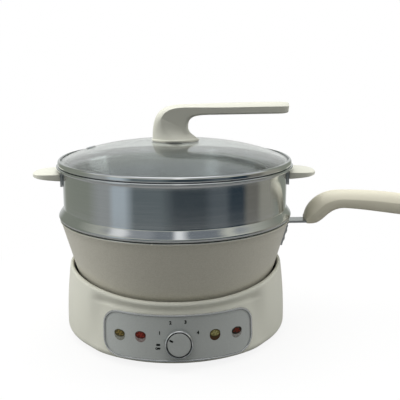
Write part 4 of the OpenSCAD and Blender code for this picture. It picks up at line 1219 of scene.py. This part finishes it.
@dataclass
class Lid:
    """Domed glass in a steel band, with a steam vent and a cantilever handle."""

    band_r: float = 142.8
    band_h: float = 6.6
    band_t: float = 0.8
    band_low_round: float = 1.6
    band_top_round: float = 3.4
    band_lap: float = 1.2
    band_break: float = 0.3
    spigot_h: float = 5.0
    spigot_r: float = 135.6
    glass_t: float = 3.6
    glass_gap: float = 0.3
    glass_flat: float = 3.5
    glass_sunk: float = 0.15
    dome_h: float = 20.5
    dome_full: float = 2.8
    hole_r: float = 4.0
    vent_ring: float = 106.0
    vent_angle: float = 170.0
    vent_r: float = 2.5
    gasket_t: float = 0.6
    handle_h: float = 47.0
    foot_l: float = 58.0
    foot_w: float = 38.0
    foot_t: float = 2.6
    reach: float = 139.0
    arm_w: float = 24.0
    arm_t: float = 15.0
    arm_x: float = 40.0
    arm_tip: float = 0.1

    def glass_r(self) -> float:
        """Radius of the glass."""
        return self.band_r - self.band_t - self.glass_gap

    def edge_z(self) -> float:
        """Height of the glass's edge."""
        return STACK.lid_low + self.band_h / 2

    def dome_r(self) -> float:
        """Radius of the dome inside the flat edge."""
        return self.glass_r() - self.glass_flat

    def dome_z(self, r: float) -> float:
        """Height of the glass's middle at a distance from the axis."""
        return self.edge_z() + self.dome_h * (1 - (r / self.dome_r()) ** self.dome_full)

    def dome_lean(self, r: float) -> float:
        """Angle of the dome's fall in radians at a distance from the axis."""
        steep = (r / self.dome_r()) ** (self.dome_full - 1)
        return math.atan(self.dome_h * self.dome_full / self.dome_r() * steep)

    def glass(self) -> None:
        """Builds the glass with its flat ground edge."""
        radii = [mix(self.hole_r, self.dome_r(), i / 40) for i in range(41)]
        path = [(r, self.dome_z(r)) for r in radii]
        path += [(r, self.edge_z() - self.glass_sunk) for r in (self.dome_r() + 1, self.glass_r())]
        bm = turned(sheet_outline(path, self.glass_t))
        make_piece(bm, "dome_glass", "lid", "tinted_glass", GLASS, stands_for="lid_glass", sharp=50)

    def band(self) -> None:
        """Builds the steel band with soft outer edges."""
        t, low, top = self.band_t, STACK.lid_low, STACK.lid_low + self.band_h
        r, spigot, inner = self.band_r, self.spigot_r, self.dome_r() + self.band_lap
        under, over, nick = self.band_low_round, self.band_top_round, self.band_break
        lip = self.edge_z() + self.glass_t / 2
        outline = [(spigot - t, low - self.spigot_h), (spigot, low - self.spigot_h), (spigot, low)]
        outline += arc((r - under, low + under), under, -90, 0, 6)
        outline += arc((r - over, top - over), over, 0, 90, 12)
        outline += [(inner + nick, top), (inner, top - nick), (inner, lip), (r - t, lip), (r - t, low + t),
                    (spigot - t, low + t)]
        make_piece(turned(outline), "lid_ring", "lid", "brushed_steel", POLISHED, stands_for="lid_band")

    def vent(self) -> None:
        """Builds the rolled grommet of the steam vent."""
        half, r = self.glass_t / 2 + 0.2, self.vent_r
        outline = [(r, -half - 0.7), (r + 3.2, -half - 0.7), (r + 3.2, -half), (r + 1.4, -half),
                   (r + 1.4, half)]
        outline += arc((r + 2.6, half), 0.9, 0, 90, 5) + arc((r + 1.0, half), 0.9, 90, 180, 5)
        a, ring = math.radians(self.vent_angle), self.vent_ring
        spot = Matrix.Translation((ring * math.cos(a), ring * math.sin(a), self.dome_z(ring)))
        place = spot @ Matrix.Rotation(a, 4, "Z") @ Matrix.Rotation(self.dome_lean(ring), 4, "Y")
        bm = placed(turned(outline, 48), place)
        make_piece(bm, "steam_vent", "lid", "chrome", CHROME, stands_for="vent_grommet")

    def handle(self) -> None:
        """Builds the cantilever handle along its two edge curves."""
        foot = self.edge_z() + self.dome_h + self.glass_t / 2 + self.gasket_t
        top, sole = foot + self.handle_h, foot + self.foot_t
        under, arm = top - self.arm_t, self.arm_x
        left, right = -self.foot_l * 0.49, self.foot_l * 0.51
        outer = (
            [(left + 0.8, sole), (left + 1.6, sole + 28), (left + 6, top - 2.8), (12, top - 2.6)],
            [(12, top - 2.6), (50, top - 1.4), (90, top - 0.2), (self.reach, top)],
        )
        neck = (
            [(right - 1.2, sole), (right - 7, sole + 4), (16, foot + 10), (16, foot + 17.5)],
            [(16, foot + 17.5), (16, under - 4), (21, under - 0.5), (arm, under - 0.2)],
        )
        loops = []
        for rise, inset in ((0.0, 0.4), (0.4, 0.0), (1.7, 0.0), (2.2, 0.2), (2.5, 0.6)):
            ends = Vector((left + inset, foot + rise)), Vector((right - inset, foot + rise))
            loops.append(grip_section(*ends, self.foot_w - 2 * inset, 0.0, 2.0, 1.0))
        tip_l, tip_t = self.arm_tip, 2 - self.arm_tip
        shares = [i / 32 for i in range(32)] + [1 + i / 12 for i in range(11)]
        shares += [tip_t + tip_l * math.sin(math.pi / 2 * i / 10) for i in range(11)]
        for t in sorted(set(shares)):
            k = min(int(t), 1)
            high = bezier(outer[k], t - k)
            if t < 1:
                base = bezier(neck[int(2 * t)], 2 * t - int(2 * t))
            else:
                base = Vector((mix(arm, self.reach - 1, t - 1), mix(under - 0.2, under + 1, t - 1)))
            tip = 1 - math.sqrt(1 - min(max((t - tip_t) / tip_l, 0), 1) ** 2 * 0.96)
            flare = max(1 - t / 0.45, 0) ** 2.4
            width = mix(self.arm_w, self.foot_w - 3, flare) * (1 - 0.3 * tip)
            flank, power = mix(0.7, 0.3, smooth(t - 0.5)), mix(2.8, 2.0, smooth(t))
            edges = high - Vector((0, 1.2 * tip)), base + Vector((0, 2 * tip))
            loops.append(grip_section(*edges, width, flank, power, 1 - smooth(t / 0.42)))
        bm = skinned(loops)
        make_piece(bm, "lid_grip", "lid", "ivory_plastic", IVORY, stands_for="lid_handle", sharp=36)

    def build(self) -> None:
        """Builds the glass, the band, the vent and the handle."""
        self.glass()
        self.band()
        self.vent()
        self.handle()


PACKED_FINISH: dict[Finish, Sequence[str]] = {
    CHARCOAL_AND_SHADE: ("well_liner", "bottom_cover", "switch_body", "mains_inlet"),
    RUBBER: ("foot_front_left", "foot_front_right", "foot_back_left", "foot_back_right"),
    ALUMINIUM: ("heating_plate", "sensor_cap"),
    SPUN: (
        "heating_element", "plate_stand", "sensor_guide", "fuse_clip", "switch_shaft", "inlet_screws",
        "bottom_screws", "grip_screw", "steamer_floor", "ear_screws", "handle_washer", "handle_screw",
    ),
    CHROME: ("thermal_fuse",),
    SHEATH: ("heater_leads", "supply_leads"),
    BRASS: ("switch_nut", "inlet_pins"),
    STAMPED: ("handle_bracket",),
    BLASTED: ("ear_bracket_left", "ear_bracket_right"),
    SILICONE: ("handle_gasket",),
}


def dress_packed(nodes: dict[str, bpy.types.Object]) -> None:
    """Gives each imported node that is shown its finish.

    Args:
        nodes: Node name to object.
    """
    for finish, names in PACKED_FINISH.items():
        for name in names:
            nodes[name].data.materials.clear()
            nodes[name].data.materials.append(made_material(finish))
            LOG.info("%s: packed node in %s", name, finish.name)


class Tone(Enum):
    """Tones of the room's walls."""

    WHITE = "#ffffff"
    GLOW = "#d4d4c8"
    PLASTER = "#d6d8d6"
    WINDOW = "#bcc6cc"
    SAND = "#9e9c91"
    LINEN = "#a4a7a6"
    HAZE = "#9a9ea2"
    STONE = "#909489"
    DUSK = "#7c8288"
    CLAY = "#76746d"
    IRON = "#697275"
    PEWTER = "#5a6267"
    SLATE = "#3b454b"
    COAL = "#2d3b45"


# Runs of wall round the room, each with the angle from the camera's side, through the right, where it ends.
Runs = Sequence[tuple[float, Tone]]
EYE_LEVEL: Runs = (
    (-158, Tone.PLASTER), (-84, Tone.STONE), (-67, Tone.LINEN), (-49, Tone.WINDOW), (-8, Tone.IRON),
    (33, Tone.SLATE), (52, Tone.PEWTER), (72, Tone.COAL), (90, Tone.CLAY), (116, Tone.SAND),
    (158, Tone.STONE), (180, Tone.PLASTER),
)
LIGHT_STRIP: Runs = ((-110, Tone.STONE), (110, Tone.GLOW), (180, Tone.STONE))
HIGH_WINDOWS: Runs = (
    (-113, Tone.HAZE), (-101, Tone.WHITE), (-80, Tone.HAZE), (-62, Tone.WHITE), (-30, Tone.HAZE),
    (-1, Tone.DUSK), (7, Tone.WHITE), (61, Tone.DUSK), (68, Tone.GLOW), (110, Tone.HAZE),
    (120, Tone.WHITE), (180, Tone.HAZE),
)


@dataclass
class Studio:
    """Pale floor, soft lamps, the room around and the camera; lengths of the floor are in metres."""

    floor_r: float = 0.66
    floor_fade: Point = (0.17, 0.4)
    floor_glow: Point = (0.87, 1.0)
    floor_pale: str = "#f2f2f0"
    floor_dull: str = "#8e8e8c"
    wall_soft: float = 0.18
    # Spans in the room are of a direction's Z, or its Y for the depth.
    strip_rise: Point = (0.36, 0.43)
    windows_rise: Point = (0.58, 0.66)
    ceiling_rise: Point = (0.89, 0.93)
    ceiling: Colour = (1.2, 1.2, 1.2, 1.0)
    sky: Colour = (0.6, 0.6, 0.6, 1.0)
    sky_rise: Point = (0.1, 0.75)
    depth: Point = (-0.7, 0.6)
    depth_glow: Point = (0.06, 0.4)
    camera_d: float = 814.2
    camera_h: float = 340.4
    camera_angle: float = -1.0
    pitch: float = 12.5
    yaw: float = 2.16
    focal: float = 664.3
    picture_side: float = 400.0
    sensor: float = 36.0

    def seen(self, tree: Tree) -> Socket:
        """1 for what the camera sees, straight or through the glass, and 0 for all other light."""
        rays = add_node(tree, "ShaderNodeLightPath").outputs
        return reckon(tree, "MAXIMUM", rays["Is Camera Ray"], rays["Is Transmission Ray"])

    def floor(self) -> None:
        """Lays the floor, which fades to plain white away from the object."""
        bm = bmesh.new()
        bmesh.ops.create_circle(bm, cap_ends=True, segments=96, radius=self.floor_r)
        obj = add_object("floor", mesh_data(bm, "floor"))
        material = bpy.data.materials.new("pale_floor")
        material.use_nodes = True
        tree = material.node_tree
        shader = tree.nodes["Principled BSDF"]
        shader.inputs["Roughness"].default_value = 0.9
        away = add_node(tree, "ShaderNodeVectorMath", {0: own_place(tree)}, operation="LENGTH")
        fade = ranged(tree, away.outputs["Value"], self.floor_fade, self.floor_glow)
        seen = self.seen(tree)
        paint = blend(tree, seen, linear(self.floor_dull), linear(self.floor_pale))
        tree.links.new(paint, shader.inputs["Base Color"])
        share = reckon(tree, "MULTIPLY", fade, seen)
        white = add_node(tree, "ShaderNodeEmission", {"Color": WHITE, "Strength": 1.0}).outputs["Emission"]
        cover = add_node(tree, "ShaderNodeMixShader", {0: share, 1: shader.outputs["BSDF"], 2: white})
        tree.links.new(cover.outputs["Shader"], tree.nodes["Material Output"].inputs["Surface"])
        obj.data.materials.append(material)

    def lamp(
        self, name: str, spot: Spot, aim: float, size: Point, power: float, through: bool = False
    ) -> None:
        """Hangs one soft rectangular lamp.

        Args:
            name: Name of the lamp.
            spot: Its place in metres.
            aim: Height of the point on the object's axis that it faces, in metres.
            size: Width and height in metres.
            power: Power in watts.
            through: Whether the lamp itself can show through the glass.
        """
        data = bpy.data.lights.new(name, "AREA")
        data.shape = "RECTANGLE"
        data.size, data.size_y = size
        data.energy = power
        obj = add_object(name, data)
        obj.location = spot
        obj.rotation_euler = (Vector((0, 0, aim)) - Vector(spot)).to_track_quat("-Z", "Y").to_euler()
        obj.visible_camera = obj.visible_glossy = False
        obj.visible_transmission = through

    def wall_ring(self, tree: Tree, turn: Socket, runs: Runs) -> Socket:
        """Paints one ring of wall, run after run.

        Args:
            tree: Tree of the room.
            turn: Share of a full turn, from behind the object round by its left.
            runs: Ends and tones of the runs.

        Returns:
            Colour of the ring.
        """
        ramp = add_node(tree, "ShaderNodeValToRGB", {"Fac": turn})
        stops, start = [], -180.0
        for end, tone in runs:
            inset = self.wall_soft * (end - start)
            stops += [(start + inset, tone), (end - inset, tone)]
            start = end
        while len(ramp.color_ramp.elements) < len(stops):
            ramp.color_ramp.elements.new(0.5)
        for element, (angle, tone) in zip(ramp.color_ramp.elements, stops):
            element.position = (angle + 180) / 360
            element.color = linear(tone.value)
        return ramp.outputs["Color"]

    def room(self) -> None:
        """Paints the room: plain white to the camera, and to metal a darker side where the camera stands."""
        world = bpy.data.worlds.new("studio")
        bpy.context.scene.world = world
        world.use_nodes = True
        tree = world.node_tree
        tree.nodes.clear()
        way = add_node(tree, "ShaderNodeTexCoord").outputs["Generated"]
        parts = add_node(tree, "ShaderNodeSeparateXYZ", {0: way}).outputs
        back = reckon(tree, "MULTIPLY", parts["Y"], -1.0)
        turn = ranged(tree, reckon(tree, "ARCTAN2", parts["X"], back), (-math.pi, math.pi))
        walls = self.wall_ring(tree, turn, EYE_LEVEL)
        for rise, runs in ((self.strip_rise, LIGHT_STRIP), (self.windows_rise, HIGH_WINDOWS)):
            ring = self.wall_ring(tree, turn, runs)
            walls = blend(tree, ranged(tree, parts["Z"], rise), walls, ring)
        walls = blend(tree, ranged(tree, parts["Z"], self.ceiling_rise), walls, self.ceiling)
        around = ranged(tree, parts["Y"], self.depth, self.depth_glow)
        ambient = blend(tree, ranged(tree, parts["Z"], self.sky_rise), around, self.sky)
        glossy = add_node(tree, "ShaderNodeLightPath").outputs["Is Glossy Ray"]
        shown = blend(tree, self.seen(tree), blend(tree, glossy, ambient, walls), WHITE)
        light = add_node(tree, "ShaderNodeBackground", {"Color": shown, "Strength": 1.0})
        surface = {"Surface": light.outputs["Background"]}
        add_node(tree, "ShaderNodeOutputWorld", surface, is_active_output=True)

    def camera(self) -> None:
        """Stands the camera where the picture was taken."""
        data = bpy.data.cameras.new("camera")
        data.sensor_width = self.sensor
        data.lens = self.focal / self.picture_side * self.sensor
        obj = add_object("camera", data)
        a = math.radians(self.camera_angle)
        obj.location = Vector((math.sin(a) * self.camera_d, -math.cos(a) * self.camera_d, self.camera_h)) * MM
        heading = math.radians(self.yaw) - a
        down = math.radians(self.pitch)
        level = math.cos(down)
        ahead = Vector((math.sin(heading) * level, math.cos(heading) * level, -math.sin(down)))
        obj.rotation_euler = ahead.to_track_quat("-Z", "Y").to_euler()
        bpy.context.scene.camera = obj

    def build(self) -> None:
        """Sets the floor, the lamps, the room and the camera."""
        self.floor()
        self.lamp("overhead", (-0.1, 0.15, 1.7), 0.1, (1.6, 1.4), 22)
        self.lamp("left", (-1.5, 0.15, 0.6), 0.12, (0.9, 1.2), 13)
        self.lamp("right", (1.6, 0.2, 0.6), 0.12, (0.8, 1.0), 9.5, through=True)
        self.room()
        self.camera()
        bpy.context.scene.view_settings.view_transform = "Standard"


def main() -> None:
    """Builds the scene in order."""
    logging.basicConfig(level=logging.INFO, format="%(message)s")
    Studio().build()
    for part in (HeatingBase(), SensorSpring(), ControlPanel(), Pot(), Steamer(), Lid()):
        part.build()
    dress_packed(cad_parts)


if __name__ == "__main__":
    main()
